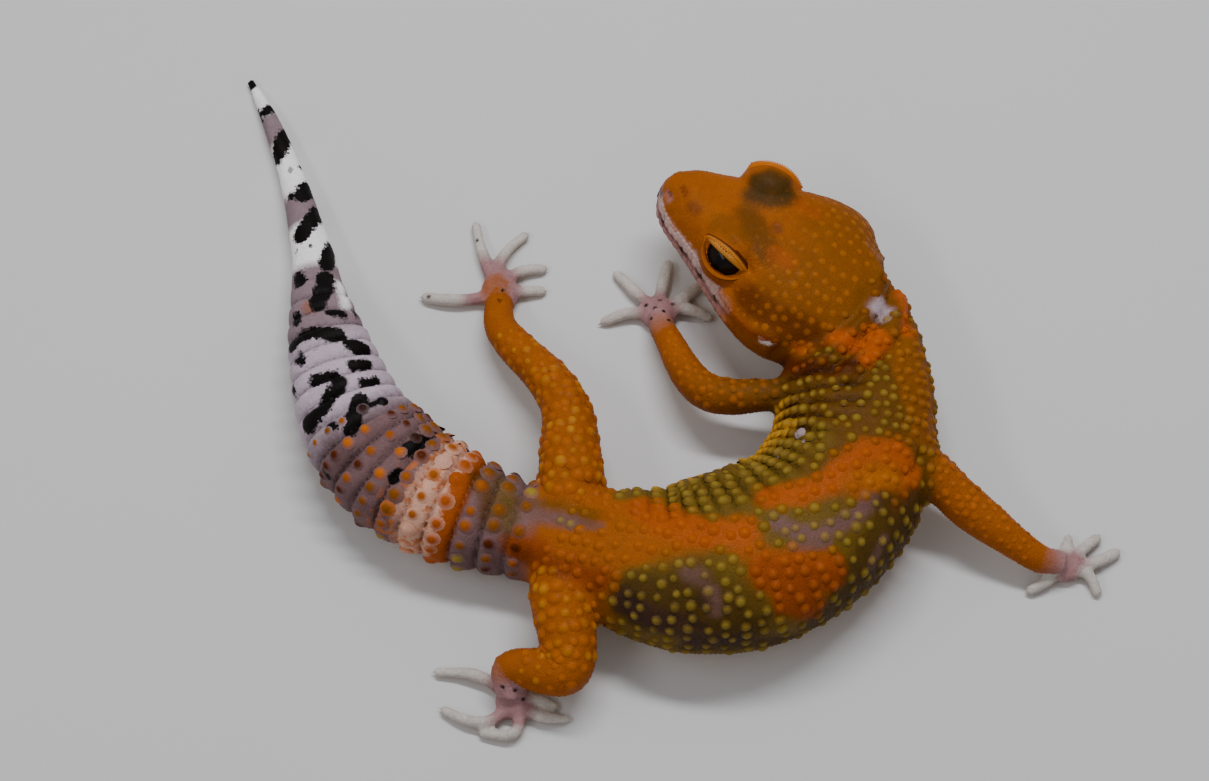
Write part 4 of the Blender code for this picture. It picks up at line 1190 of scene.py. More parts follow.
def carve_skin(points, normals, places, tree, settings):
    """The skin's points with its raised and sunk forms, moved along its normals."""
    rings = np.interp(places.whorl_phase, WHORL_PHASES, WHORL_HEIGHTS) * settings.whorl_depth / MM
    lift = rings * places.on_tail * np.clip(places.width / 5.0, 0.3, 1.0)
    lift -= places.crease * settings.crease_depth / MM
    full = between(places.s, *FULL_FLANK) * smooth_step(0.3, 0.95, places.side)
    lift += FLANK_FULLNESS * full * places.on_body * smooth_step(-0.8, -0.1, places.rise)
    lift += noise_at(points, "swells") + noise_at(points, "small_swells")
    for height, radius, pixels in FOLDS:
        away = distance_to(points, stroke(tree, pixels), radius * 3)
        lift += height * peak(away, 0, radius) * (away < radius * 3)
    in_mouth = 1 - smooth_step(MOUTH_CORNER - 1, MOUTH_CORNER + 0.5, places.behind)
    mouth = peak(places.head_up, 0, 0.28) * in_mouth
    lift -= 0.25 * mouth * places.on_head * (places.behind < MOUTH_CORNER + 1)
    corner = peak(places.behind, HEAD_CORNER, 2.0) * smooth_step(3.5, 6.5, -places.head_left)
    by_neck = (1 - smooth_step(24.5, 27.5, places.behind)) * (places.s < 7)
    lift -= 0.9 * corner * by_neck * (1 - places.on_limb)
    for side in (1, -1):
        nostril = np.linalg.norm(points - head_place(NOSTRIL_PLACE, side), axis=1)
        lift -= NOSTRIL_DEPTH * peak(nostril, 0, NOSTRIL_RADIUS)
        ear = (head_coordinates(points) - np.asarray(EAR_PLACE) * (1, side, 1)) / EAR_SIZE
        lift -= EAR_DEPTH * np.exp(-(np.linalg.norm(ear, axis=1) ** 3))
    return points + normals * lift[:, None]


def sink_behind_lids(points):
    """Draws the skin inside each pair of lids in, so that the eyeball lies before it."""
    for side in (1, -1):
        chosen = in_lids(points, side, LID_HOLE)
        center = eye_frame(side)[0]
        points[chosen] = center + unit(points[chosen] - center) * (EYE_RADIUS - SINK_DEPTH)
    return points


class GeckoSkin(bpy.types.PropertyGroup):
    voxel: FloatProperty(
        name="Cell", description="Size of the skin's mesh cells",
        default=0.00034, unit="LENGTH", precision=5,
    )
    whorl_depth: FloatProperty(
        name="Whorls", description="Height of the tail's rings",
        default=0.00056, unit="LENGTH", precision=5,
    )
    crease_depth: FloatProperty(
        name="Creases", description="Depth of the folds of the inner flank",
        default=0.0004, unit="LENGTH", precision=5,
    )
    roughness: FloatProperty(
        name="Roughness", description="Roughness of the skin",
        default=0.44, min=0, max=1, subtype="FACTOR",
    )
    blot_color: FloatVectorProperty(
        name="Blots", description="Colour of the dark blots",
        default=tuple(pigment("black")), subtype="COLOR",
    )


class GeckoCoat(bpy.types.PropertyGroup):
    spacing: FloatProperty(
        name="Spacing", description="Distance between the back's tubercles",
        default=0.00148, unit="LENGTH", precision=5,
    )
    radius: FloatProperty(
        name="Radius", description="Radius of the back's tubercles",
        default=0.00046, unit="LENGTH", precision=5,
    )
    height: FloatProperty(
        name="Height", description="Height of the back's tubercles",
        default=0.00034, unit="LENGTH", precision=5,
    )
    granule: FloatProperty(
        name="Granules", description="Distance between the small scales",
        default=0.0004, unit="LENGTH", precision=5,
    )
    seed: IntProperty(name="Seed", description="Start of the draw that varies the scales", default=7)


class GeckoStage(bpy.types.PropertyGroup):
    floor_color: FloatVectorProperty(
        name="Floor", description="Colour of the floor", default=(0.62, 0.62, 0.64), subtype="COLOR"
    )
    light_power: FloatProperty(
        name="Light", description="Power of the main light", default=1.45, unit="POWER"
    )
    sky_strength: FloatProperty(name="Sky", description="Strength of the even light all round", default=0.35)


def new_group(name, inputs, outputs):
    """An empty shader node group with named sockets, each a name, a kind and a default."""
    group = bpy.data.node_groups.new(name, "ShaderNodeTree")
    for way, sockets in (("INPUT", inputs), ("OUTPUT", outputs)):
        for socket_name, kind, *default in sockets:
            socket = group.interface.new_socket(socket_name, in_out=way, socket_type=f"NodeSocket{kind}")
            if default:
                socket.default_value = default[0]
    return group, group.nodes.new("NodeGroupInput").outputs, group.nodes.new("NodeGroupOutput").inputs


def add_node(tree, kind, inputs=None, **settings):
    """A node with its settings; each input takes a value or another node's socket."""
    node = tree.nodes.new(f"ShaderNode{kind}")
    for key, value in settings.items():
        setattr(node, key, value)
    for key, value in (inputs or {}).items():
        if isinstance(value, bpy.types.NodeSocket):
            tree.links.new(value, node.inputs[key])
        else:
            node.inputs[key].default_value = value
    return node


def object_coordinates(tree):
    return add_node(tree, "TexCoord").outputs["Object"]


def math_node(tree, operation, *values):
    return add_node(tree, "Math", dict(enumerate(values)), operation=operation).outputs[0]


def mix_color(tree, share, a, b, blend="MIX"):
    return add_node(tree, "Mix", {0: share, 6: a, 7: b}, data_type="RGBA", blend_type=blend).outputs[2]


def ramp(tree, value, start, end, low, high):
    """A value's way from start to end, made a way from low to high."""
    ends = {"Value": value, "From Min": start, "From Max": end, "To Min": low, "To Max": high}
    return add_node(tree, "MapRange", ends).outputs["Result"]


def scale_group():
    """Small scales: a tint that changes from scale to scale, the lines between them, and their height."""
    group, inputs, outputs = new_group(
        "fine_scales",
        (("Vector", "Vector"), ("Size", "Float", 0.0004)),
        (("Tint", "Float"), ("Line", "Float"), ("Height", "Float")),
    )
    density = math_node(group, "DIVIDE", 1.0, inputs["Size"])
    pattern = {"Vector": inputs["Vector"], "Scale": density, "Randomness": 0.85}
    cells = add_node(group, "TexVoronoi", pattern).outputs
    edges = add_node(group, "TexVoronoi", pattern, feature="DISTANCE_TO_EDGE").outputs
    split = add_node(group, "SeparateColor", {"Color": cells["Color"]})
    dome_height = ramp(group, cells["Distance"], 0.0, 0.75, 1.0, 0.0)
    group.links.new(split.outputs["Red"], outputs["Tint"])
    group.links.new(ramp(group, edges["Distance"], 0.0, 0.16, 1.0, 0.0), outputs["Line"])
    group.links.new(math_node(group, "SQRT", dome_height), outputs["Height"])
    return group


def marks_group():
    """The ground colour with its dark blots, whose edges are broken up by noise."""
    group, inputs, outputs = new_group(
        "skin_marks",
        (("Vector", "Vector"), ("Ground", "Color"), ("Blot", "Float", 1.0), ("Blot Color", "Color")),
        (("Color", "Color"), ("Mask", "Float")),
    )
    ragged = add_node(group, "TexNoise", {"Vector": inputs["Vector"], "Scale": 1400.0, "Detail": 3.0})
    shift = math_node(group, "MULTIPLY", math_node(group, "SUBTRACT", ragged.outputs["Fac"], 0.5), 0.1)
    mask = ramp(group, math_node(group, "ADD", inputs["Blot"], shift), -0.1, 0.12, 1.0, 0.0)
    group.links.new(mask, outputs["Mask"])
    group.links.new(mix_color(group, mask, inputs["Ground"], inputs["Blot Color"]), outputs["Color"])
    return group


def use_group(tree, name, build, inputs):
    """A node of a shared group, which is built the first time that it is asked for."""
    return add_node(tree, "Group", inputs, node_tree=bpy.data.node_groups.get(name) or build()).outputs


def new_material(name, values):
    """A material whose shader has these values, with its node tree and the shader's sockets."""
    material = bpy.data.materials.new(name)
    material.use_nodes = True
    tree = material.node_tree
    shader = tree.nodes["Principled BSDF"].inputs
    for key, value in values.items():
        shader[key].default_value = value
    return material, tree, shader


def skin_material(name, settings, scale_size=0.00028, scale_depth=0.00003, rougher=0.0):
    """Painted skin: ground colour and blots, tinted from scale to scale, with fine scales in its bump."""
    material, tree, shader = new_material(name, {
        "Specular IOR Level": 0.08,
        "Subsurface Weight": 0.04,
        "Subsurface Radius": (0.0012, 0.0005, 0.0003),
        "Subsurface Scale": 1.0,
    })
    vector = object_coordinates(tree)
    marks = use_group(tree, "skin_marks", marks_group, {
        "Vector": vector,
        "Ground": add_node(tree, "Attribute", attribute_name="ground").outputs["Color"],
        "Blot": add_node(tree, "Attribute", attribute_name="blot").outputs["Fac"],
        "Blot Color": (*settings.blot_color, 1.0),
    })
    scales = use_group(tree, "fine_scales", scale_group, {"Vector": vector, "Size": scale_size})
    tint = ramp(tree, scales["Tint"], 0.0, 1.0, 0.93, 1.08)
    both = math_node(tree, "MULTIPLY", tint, ramp(tree, scales["Line"], 0.0, 1.0, 1.0, 0.86))
    grey = add_node(tree, "CombineColor", {"Red": both, "Green": both, "Blue": both}).outputs["Color"]
    tree.links.new(mix_color(tree, 1.0, marks["Color"], grey, "MULTIPLY"), shader["Base Color"])
    roughness = settings.roughness + rougher
    tree.links.new(ramp(tree, scales["Line"], 0.0, 1.0, roughness, roughness + 0.2), shader["Roughness"])
    bump = add_node(tree, "Bump", {"Height": scales["Height"], "Distance": scale_depth, "Strength": 0.8})
    tree.links.new(bump.outputs["Normal"], shader["Normal"])
    return material


def eye_material(name, center, axes):
    """A dark iris with fine rays and a slit pupil, wet all over."""
    material, tree, shader = new_material(name, {
        "Roughness": 0.25,
        "Specular IOR Level": 0.08,
        "Coat Weight": 0.2,
        "Coat Roughness": 0.02,
    })
    away = {0: object_coordinates(tree), 1: tuple(center)}
    away = add_node(tree, "VectorMath", away, operation="SUBTRACT").outputs[0]
    parts = []
    for axis in axes:
        dot = add_node(tree, "VectorMath", {0: away, 1: tuple(axis)}, operation="DOT_PRODUCT")
        parts.append(math_node(tree, "MULTIPLY", dot.outputs["Value"], 1 / MM))
    along, over = (math_node(tree, "ABSOLUTE", part) for part in parts[:2])
    slit = math_node(tree, "ADD", along, math_node(tree, "MULTIPLY", over, 0.28))
    turn = math_node(tree, "MULTIPLY", math_node(tree, "ARCTAN2", parts[1], parts[0]), 9.0)
    reach = add_node(tree, "CombineXYZ", {"X": turn, "Y": parts[2]}).outputs["Vector"]
    rays = add_node(tree, "TexNoise", {"Vector": reach, "Scale": 2.5, "Detail": 4.0}).outputs["Fac"]
    iris = mix_color(tree, rays, solid("dark_iris"), solid("iris"))
    color = mix_color(tree, ramp(tree, slit, 0.5, 0.62, 0.0, 1.0), solid("pupil"), iris)
    tree.links.new(color, shader["Base Color"])
    return material


def claw_material():
    """Pale horn with darker streaks."""
    material, tree, shader = new_material("claw_horn", {"Roughness": 0.35})
    streaks = {"Vector": object_coordinates(tree), "Scale": 1800.0, "Detail": 2.0}
    streaks = add_node(tree, "TexNoise", streaks).outputs["Fac"]
    tree.links.new(mix_color(tree, streaks, solid("horn"), solid("dark_horn")), shader["Base Color"])
    return material


class GECKO_OT_skin(bpy.types.Operator):
    """One skin from the snout to the tail's tip and the toes"""

    bl_idname = "gecko.skin"
    bl_label = "Skin"

    def execute(self, context):
        settings = context.scene.gecko_skin
        points, faces = skin_sources()
        for place in FINER_PLACES:
            points = stretch(points, place)
        skin = new_piece("skin", points, faces)
        voxels = skin.modifiers.new("voxels", "REMESH")
        voxels.mode = "VOXEL"
        voxels.voxel_size = settings.voxel
        voxels.adaptivity = 0.0
        select_only(skin)
        bpy.ops.object.modifier_apply(modifier=voxels.name)
        points = points_of(skin)
        for place in reversed(FINER_PLACES):
            points = stretch(points, place, back=True)
        edges = read_values(skin.data.edges, "vertices", 2, int)
        points = relax(points, edges, *SMOOTHING)
        places = Places(points)
        joint = peak(places.off_body - places.off_limb, 0, 0.35)
        joint *= (places.off_limb < 1.8) * (places.limb_share < 0.7)
        nape = peak(places.behind, 23.5, 2.2) * (places.s < 9)
        spread = np.clip(np.maximum(joint, nape), 0, 1) * 0.9
        points = above_floor(relax(points, edges, *JOINT_SMOOTHING, spread))
        move_points(skin, points)
        tree = BVHTree.FromPolygons(points.tolist(), [tuple(face.vertices) for face in skin.data.polygons])
        points = carve_skin(points, normals_of(skin), places, tree, settings)
        points = above_floor(sink_behind_lids(points))
        move_points(skin, points)
        colors, blot = paint_skin(points, normals_of(skin), Places(points), tree)
        set_attributes(skin.data, colors, blot)
        finish_piece(skin, skin_material("gecko_skin", settings))
        flesh = [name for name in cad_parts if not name.startswith("eye_")]
        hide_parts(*flesh)
        return {"FINISHED"}


class SkinMap:
    """The finished skin, to set pieces on: its nearest place, normal, colour and marks."""

    def __init__(self):
        skin = bpy.data.objects["skin"]
        attributes = skin.data.attributes
        self.points = points_of(skin)
        self.normals = normals_of(skin)
        self.colors = read_values(attributes["ground"].data, "color", 4, np.float32)[:, :3]
        self.blot = read_values(attributes["blot"].data, "value", 1, np.float32)[:, 0]
        self.faces = [tuple(face.vertices) for face in skin.data.polygons]
        self.tree = BVHTree.FromPolygons(self.points.tolist(), self.faces)


class Roots(Places):
    """Places on the skin nearest to some points, with what the skin holds there."""

    def __init__(self, skin, points, reach=ROOT_REACH):
        found, index, near = [], [], []
        for point in points:
            place, _, face, distance = skin.tree.find_nearest(Vector(point))
            found.append(tuple(place))
            index.append(min(skin.faces[face], key=lambda k: abs(skin.points[k] - place).sum()))
            near.append(distance < reach)
        super().__init__(np.array(found))
        self.near = np.array(near)
        self.normals, self.ground, self.blot = skin.normals[index], skin.colors[index], skin.blot[index]

    def clear(self):
        """Which places are near their points, outside the lids and above the floor."""
        near = self.near & (self.points[:, 2] > 0.15)
        for side in (1, -1):
            near &= ~in_lids(self.points, side, LID_REACH)
        return near

    def keep(self, chosen):
        for name, values in list(vars(self).items()):
            setattr(self, name, values[chosen])


def dome(sides, rings):
    """A low dome: its points as radius, turn and height shares, and its faces."""
    points = [(share, 2 * math.pi * k / sides, height) for share, height in rings for k in range(sides)]
    points.append((0.0, 0.0, 1.0))
    faces = []
    for ring in range(len(rings) - 1):
        for k in range(sides):
            a, b = ring * sides + k, ring * sides + (k + 1) % sides
            faces += [(a, b, b + sides), (a, b + sides, a + sides)]
    last = (len(rings) - 1) * sides
    faces += [(last + k, last + (k + 1) % sides, len(points) - 1) for k in range(sides)]
    return np.array(points), np.array(faces)


BIG_DOME = dome(9, ((1.5, -0.14), (1.08, 0.24), (0.62, 0.78)))
PLATE = dome(10, ((1.12, -0.5), (0.98, 0.5), (0.7, 0.92)))
SMALL_DOME = dome(6, ((1.1, -0.5),))


def add_domes(name, shape, roots, along, sizes, colors, material, lean=0.0):
    """Many copies of a dome in one piece, each from the ground's colour at its foot to its own at the top.

    Sizes hold each one's half length, half width and height.
    """
    template, faces = shape
    normals = roots.normals
    along = unit(along - normals * (along * normals).sum(1, keepdims=True))
    across = np.cross(normals, along)
    flat_x = template[:, 0] * np.cos(template[:, 1])
    flat_y = template[:, 0] * np.sin(template[:, 1])
    shift = flat_x[None] + np.reshape(lean, (-1, 1)) * np.maximum(template[:, 2], 0)[None]
    points = (
        roots.points[:, None]
        + along[:, None] * (shift * sizes[:, :1])[..., None]
        + across[:, None] * (flat_y[None] * sizes[:, 1:2])[..., None]
        + normals[:, None] * (template[:, 2][None] * sizes[:, 2:])[..., None]
    )
    count = len(template)
    every = (faces[None] + (np.arange(len(normals)) * count)[:, None, None]).reshape(-1, 3)
    piece = new_piece(name, above_floor(points.reshape(-1, 3)), every)
    share = np.clip(template[:, 2] / 0.7, 0.0, 1.0)[None, :, None]
    shades = roots.ground[:, None] * (1 - share) + colors[:, None] * share
    set_attributes(piece.data, shades.reshape(-1, 3), np.repeat(roots.blot, count))
    spread = np.stack([flat_x, flat_y], 1) * PATCH_SIZE / 2.4
    maps = (roots.unwrap(normals)[:, None] + spread[None]).reshape(-1, 2)
    layer = piece.data.uv_layers.new(name="OFBake")
    layer.data.foreach_set("uv", maps[every.ravel()].ravel())
    finish_piece(piece, material)


def spine_direction(s):
    heading = spine_at(s)[..., 2]
    return np.stack([np.cos(heading), np.sin(heading), np.zeros_like(heading)], -1)


def half_sizes(table, at):
    """A ring's half width and half height, added up."""
    width, top, bottom = read_table(table, at)[0]
    return width + (top - bottom) / 2


def ring_grid(table, start, end, spacing, angles, draw, jitter):
    """Staggered places in even rings round the body or the head, as distance along it and angle."""
    found = []
    for number, at in enumerate(np.arange(start, end, spacing * RING_SHARE)):
        count = round(math.pi * half_sizes(table, at) / spacing)
        angle = 2 * math.pi * (np.arange(count) + 0.5 * (number % 2)) / count - math.pi / 2
        found.append(np.column_stack([np.full(count, at), angle, np.full(count, 2 * math.pi / count)]))
    found = np.vstack(found)
    found[:, 0] += draw.uniform(-jitter, jitter, len(found)) * spacing
    found[:, 1] += draw.uniform(-jitter, jitter, len(found)) * found[:, 2]
    low, high = np.radians(angles)
    return found[(found[:, 1] >= low) & (found[:, 1] <= high), :2]


def flank_grid(draw):
    """Rows of places on the inner flank between its creases, closer together towards the belly."""
    found = []
    for number, row in enumerate(np.arange(CREASE_FROM, CREASE_TO, CREASE_LENGTH)):
        angle = math.radians(-16)
        while angle < math.radians(68):
            left = read_table(BODY_STATIONS, row)[0, 0] * abs(math.cos(angle)) ** (2 / BODY_ROUNDNESS)
            s = row + float(flank_skew(row, left)) + draw.uniform(-0.1, 0.1)
            found.append((s, angle + 0.07 * (number % 2)))
            angle += 1.12 / (0.5 * half_sizes(BODY_STATIONS, row)) * draw.uniform(0.93, 1.07)
    return np.array(found)


def limb_grid(limb, spacing, draw, jitter, end_share=1.0):
    """Staggered places round a limb: the points, and the limb's direction at each."""
    stations = stations_of(limb["points"])
    found, ways = [], []
    for number, at in enumerate(np.arange(1.0, stations[WRIST, 0] * end_share, spacing * RING_SHARE)):
        radius = radius_along(stations, limb["radii"], at)[0]
        count = round(2 * math.pi * radius / spacing)
        before, middle, after = read_table(stations, [at - 0.1, at, at + 0.1])
        way = unit(after - before)
        across = unit(np.cross(way, (0, 0, 1)))
        above = np.cross(across, way)
        angle = 2 * math.pi * (np.arange(count) + 0.5 * (number % 2)) / count
        angle += draw.uniform(-jitter, jitter, count) * 2 * math.pi / count
        slip = draw.uniform(-jitter, jitter, count)[:, None] * spacing * way
        ring = np.cos(angle)[:, None] * across + np.sin(angle)[:, None] * above
        found.append(middle + slip + ring * radius)
        ways.append(np.repeat(way[None], count, 0))
    return np.vstack(found), np.vstack(ways)


def apart(points, gaps, chosen):
    """Which of the chosen points keep their distance from every chosen one before them."""
    kept, cells = np.zeros(len(points), bool), {}
    cell = float(gaps.max())
    for number in np.flatnonzero(chosen):
        home = tuple(np.floor(points[number] / cell).astype(int))
        close = [
            other
            for x in (-1, 0, 1) for y in (-1, 0, 1) for z in (-1, 0, 1)
            for other in cells.get((home[0] + x, home[1] + y, home[2] + z), ())
        ]
        if all(math.dist(points[number], points[other]) > gaps[number] for other in close):
            kept[number] = True
            cells.setdefault(home, []).append(number)
    return kept


def dome_colors(ground, draw):
    """A tubercle is lighter than the skin round it: yellow on olive and lavender, light orange on orange."""
    red = np.maximum(ground[:, 0], 1e-4)
    dull = smooth_step(0.24, 0.4, ground[:, 1] / red)
    pale = smooth_step(0.55, 0.85, ground[:, 2] / red)
    share = 0.68 * draw.uniform(0.5, 1.0, len(ground)) * (0.45 + 0.55 * dull) * (1 - pale)
    return mix(ground, mix(pigment("dome_orange"), pigment("yellow"), dull), share)


def back_tubercles(skin, settings, material, draw):
    """Tubercles in rows between the inner flank's creases, and staggered on the rest of the trunk."""
    spacing, radius, height = settings.spacing / MM, settings.radius / MM, settings.height / MM
    neck = ring_grid(BODY_STATIONS, 3.0, 19.0, spacing * 0.76, (-14, 196), draw, 0.16)
    back = ring_grid(BODY_STATIONS, 19.0, 56.0, spacing, (-12, 196), draw, 0.2)
    flank = flank_grid(draw)
    grid = np.vstack([neck, back])
    inner = (grid[:, 1] < math.radians(66)) & (grid[:, 0] > CREASE_FROM - 1) & (grid[:, 0] < CREASE_TO)
    spots = np.vstack([flank, grid[~inner]])
    s, packed = spots[:, 0], np.arange(len(spots)) < len(flank)
    roots = Roots(skin, body_surface(*spots.T))
    near = roots.clear() & (roots.on_body > 0.5) & ((roots.behind > 22.5) | (s > 14))
    near &= (roots.ground[:, 2] < 0.7 * roots.ground[:, 0]) | (s > 12)
    near &= (s > 5.5) | (draw.uniform(size=len(s)) < 0.4)
    gaps = np.where(packed, PACKED_GAP, np.where(s < 19, NECK_GAP, BACK_GAP)) * spacing
    near &= apart(roots.points, gaps, near)
    roots.keep(near)
    s, packed = s[near], packed[near]
    vary = draw.uniform(0.8, 1.12, (len(s), 1))
    radius = radius * (1 - 0.12 * (1 - smooth_step(12, 20, s)))
    sizes = np.column_stack([radius * (1 + 0.1 * packed), radius, height * (1 + 0.15 * packed)]) * vary
    # The tubercles take the ground colour with the creases' painted shade taken out again
    colors = dome_colors(roots.ground / (1 - CREASE_SHADE * roots.crease[:, None]), draw)
    edge = (1 - smooth_step(0.35, 0.7, roots.rise)) * (roots.side > 0) * smooth_step(CREASE_FROM, 16, s)
    colors = mix(colors, pigment("gold"), edge * 0.8 * (s < CREASE_TO + 1))
    ways, lean = spine_direction(s), 0.15 + 0.25 * packed
    add_domes("back_tubercles", BIG_DOME, roots, ways, sizes, colors, material, lean)


def tail_tubercles(skin, material, draw):
    """A row of tubercles on each ring of the tail's thick part."""
    spacing, radius, tall = TAIL_DOMES
    spots = []
    for number in range(3, 15):
        s = float(np.interp(number + 0.6, WHORL_COUNTS, WHORL_PLACES))
        count = round(math.pi * half_sizes(BODY_STATIONS, s) / spacing)
        for k in range(count):
            angle = 2 * math.pi * (k + 0.5 * (number % 2) + draw.uniform(-0.15, 0.15)) / count
            if angle < math.radians(200) or angle > math.radians(340):
                spots.append((s, angle))
    spots = np.array(spots)
    roots = Roots(skin, body_surface(*spots.T))
    near = roots.clear() & (roots.on_body > 0.5) & (spots[:, 0] < 79 + draw.uniform(0, 3, len(spots)))
    roots.keep(near)
    s = spots[near, 0]
    size = radius * draw.uniform(0.8, 1.15, len(s)) * (1 - 0.3 * smooth_step(70, 82, s))
    chosen = np.array(TAIL_PIGMENTS)[draw.choice(len(TAIL_PIGMENTS), len(s), p=TAIL_PIGMENT_SHARES)]
    chosen = np.where((s > 64.8) & (s < 66.8), "bright_orange", chosen)
    pale = np.where(draw.uniform(size=len(s)) < 0.5, "pink_white", "orange")
    chosen = np.where((s > 66.8) & (s < 70.2), pale, chosen)
    chosen = np.where((s > 71) & (chosen == "yellow"), "orange", chosen)
    colors = np.array([pigment(name) for name in chosen])
    ways, sizes = spine_direction(s), np.outer(size, (1, 1, tall))
    add_domes("tail_tubercles", BIG_DOME, roots, ways, sizes, colors, material, 0.25)


def head_tubercles(skin, material, draw):
    """Low tubercles on the crown and the cheeks, smaller towards the snout."""
    spacing, radius, tall = HEAD_DOMES
    grid = ring_grid(HEAD_RINGS, 11.5, 25.0, spacing, (4, 176), draw, 0.14)
    roots = Roots(skin, head_surface(*grid.T))
    near = roots.clear() & (roots.on_head > 0.5)
    roots.keep(near)
    rear = smooth_step(12, 18, grid[near, 0])
    size = radius * draw.uniform(0.85, 1.1, len(rear)) * (0.7 + 0.3 * rear)
    share = draw.uniform(0.3, 0.55, len(rear)) * (0.3 + 0.7 * rear)
    colors = mix(roots.ground, pigment("tan"), share)
    along = np.tile(HEAD_AXES[0], (len(rear), 1))
    sizes = np.outer(size, (1, 1, tall))
    add_domes("head_tubercles", BIG_DOME, roots, along, sizes, colors, material, 0.1)


def limb_tubercles(skin, material, draw):
    """Tubercles on the upper side of the limbs, larger on the hind ones."""
    kinds = np.array([HIND_DOMES if name.startswith("hind") else FORE_DOMES for name in LIMBS])
    parts = [limb_grid(limb, kind[0], draw, 0.2) for limb, kind in zip(LIMBS.values(), kinds)]
    points, ways = (np.vstack(part) for part in zip(*parts))
    roots = Roots(skin, points)
    upper = roots.normals[:, 2] > np.where(roots.limb >= 2, 0.15, 0.35)
    near = roots.clear() & (roots.on_limb > 0.5) & (roots.limb_share < 0.95) & upper
    roots.keep(near)
    hind = roots.limb >= 2
    _, radius, tall = kinds[roots.limb].T
    size = radius * draw.uniform(0.7, 1.15, len(hind))
    size *= 1 - 0.3 * smooth_step(0.5, 0.9, roots.limb_share)
    share = 0.5 * draw.uniform(0.3, 1.0, len(hind))
    golden = draw.uniform(size=len(hind)) < 0.45 * hind
    light = np.where(golden[:, None], pigment("gold"), pigment("dome_orange"))
    colors, sizes = mix(roots.ground, light, share), np.column_stack([size, size, size * tall])
    add_domes("limb_tubercles", BIG_DOME, roots, ways[near], sizes, colors, material, 0.2)


class GECKO_OT_eyes(bpy.types.Operator):
    """Two dark, wet eyes with slit pupils"""

    bl_idname = "gecko.eyes"
    bl_label = "Eyes"

    def execute(self, context):
        for side, name in ((1, "eye_ball_left"), (-1, "eye_ball_right")):
            center, *axes = eye_frame(side)
            axes = np.stack(axes)
            bpy.ops.object.select_all(action="DESELECT")
            bpy.ops.mesh.primitive_uv_sphere_add(segments=56, ring_count=36, radius=EYE_RADIUS * MM)
            eye = context.object
            eye.name = name
            move_points(eye, center + local_points(eye) @ axes)
            faces_outward(eye)
            finish_piece(eye, eye_material(name, to_frame(center), axes))
            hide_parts("eye_left" if side == 1 else "eye_right")
        return {"FINISHED"}


class GECKO_OT_lids(bpy.types.Operator):
    """The thick margins of the four eyelids, with a fringe of small scales"""

    bl_idname = "gecko.lids"
    bl_label = "Lids"

    def execute(self, context):
        material = skin_material("gecko_lids", context.scene.gecko_skin, 0.00022, 0.00002)
        for side, name in ((1, "left"), (-1, "right")):
            points, faces = lid_ring(side)
            lids = new_piece(f"lids_{name}", points, faces)
            faces_outward(lids)
            center, _, over, _ = eye_frame(side)
            upper = smooth_step(-0.1, 0.5, (points - center) @ over)
            row = np.arange(len(points)) // LID_SIDES
            colors = mix(np.tile(pigment("orange"), (len(points), 1)), pigment("light_orange"), upper)
            colors[row <= 1] = pigment("dark_brown")
            # Painted shade in the groove where the near eye's lids meet the skin; the far eye's lids keep
            # their own orange there
            colors[row >= 5] = pigment("dark_brown") if side == 1 else pigment("dome_orange")
            set_attributes(lids.data, colors, np.full(len(points), BLOT_FAR))
            finish_piece(lids, material)
            chosen = np.arange(*LID_SCALES) + LID_SIDES * 4
            fringe = Places(points[chosen])
            fringe.normals = unit(fringe.points - center)
            fringe.ground = np.tile(pigment("dome_orange"), (len(chosen), 1))
            fringe.blot = np.full(len(chosen), BLOT_FAR)
            ways = unit(points[chosen + 1] - points[chosen - 1])
            sizes = np.tile((0.13, 0.13, 0.2), (len(chosen), 1))
            colors = fringe.ground
            add_domes(f"lid_scales_{name}", SMALL_DOME, fringe, ways, sizes, colors, material)
        return {"FINISHED"}


class GECKO_OT_lips(bpy.types.Operator):
    """Rows of smooth plates along the upper and the lower lip"""

    bl_idname = "gecko.lips"
    bl_label = "Lips"

    def execute(self, context):
        draw = np.random.default_rng(context.scene.gecko_coat.seed + 5)
        plates = []
        for side in (1, -1):
            for height, length, width, shade in LIP_ROWS:
                for behind in np.arange(0.9, MOUTH_CORNER - 0.6, 1.9 * length):
                    spot = head_place((behind, read_table(HEAD_RINGS, behind)[0, 0] + 0.5, height), side)
                    plates.append((spot, (length, width, 0.03), pigment(shade)))
        for height in SNOUT_PLATES:
            plates.append((head_place((-0.6, 0.0, height)), (0.5, 0.75, 0.04), pigment("pink_white")))
        spots, sizes, shades = (np.array(part) for part in zip(*plates))
        roots = Roots(SkinMap(), spots, LIP_REACH)
        near = roots.near
        roots.keep(near)
        colors = shades[near] * 0.12 + roots.ground * 0.88
        colors *= draw.uniform(0.9, 1.08, (len(colors), 1))
        along = np.tile(HEAD_AXES[0], (len(colors), 1))
        material = skin_material("gecko_lips", context.scene.gecko_skin, 0.0002, 0.00001, -0.12)
        add_domes("lip_plates", PLATE, roots, along, sizes[near], colors, material)
        return {"FINISHED"}


class GECKO_OT_tubercles(bpy.types.Operator):
    """Raised round tubercles of the trunk, tail, head and limbs"""

    bl_idname = "gecko.tubercles"
    bl_label = "Tubercles"

    def execute(self, context):
        settings = context.scene.gecko_coat
        skin = SkinMap()
        draw = np.random.default_rng(settings.seed)
        material = skin_material("gecko_tubercles", context.scene.gecko_skin, 0.00018, 0.00002, -0.06)
        back_tubercles(skin, settings, material, draw)
        tail_tubercles(skin, material, draw)
        head_tubercles(skin, material, draw)
        limb_tubercles(skin, material, draw)
        return {"FINISHED"}


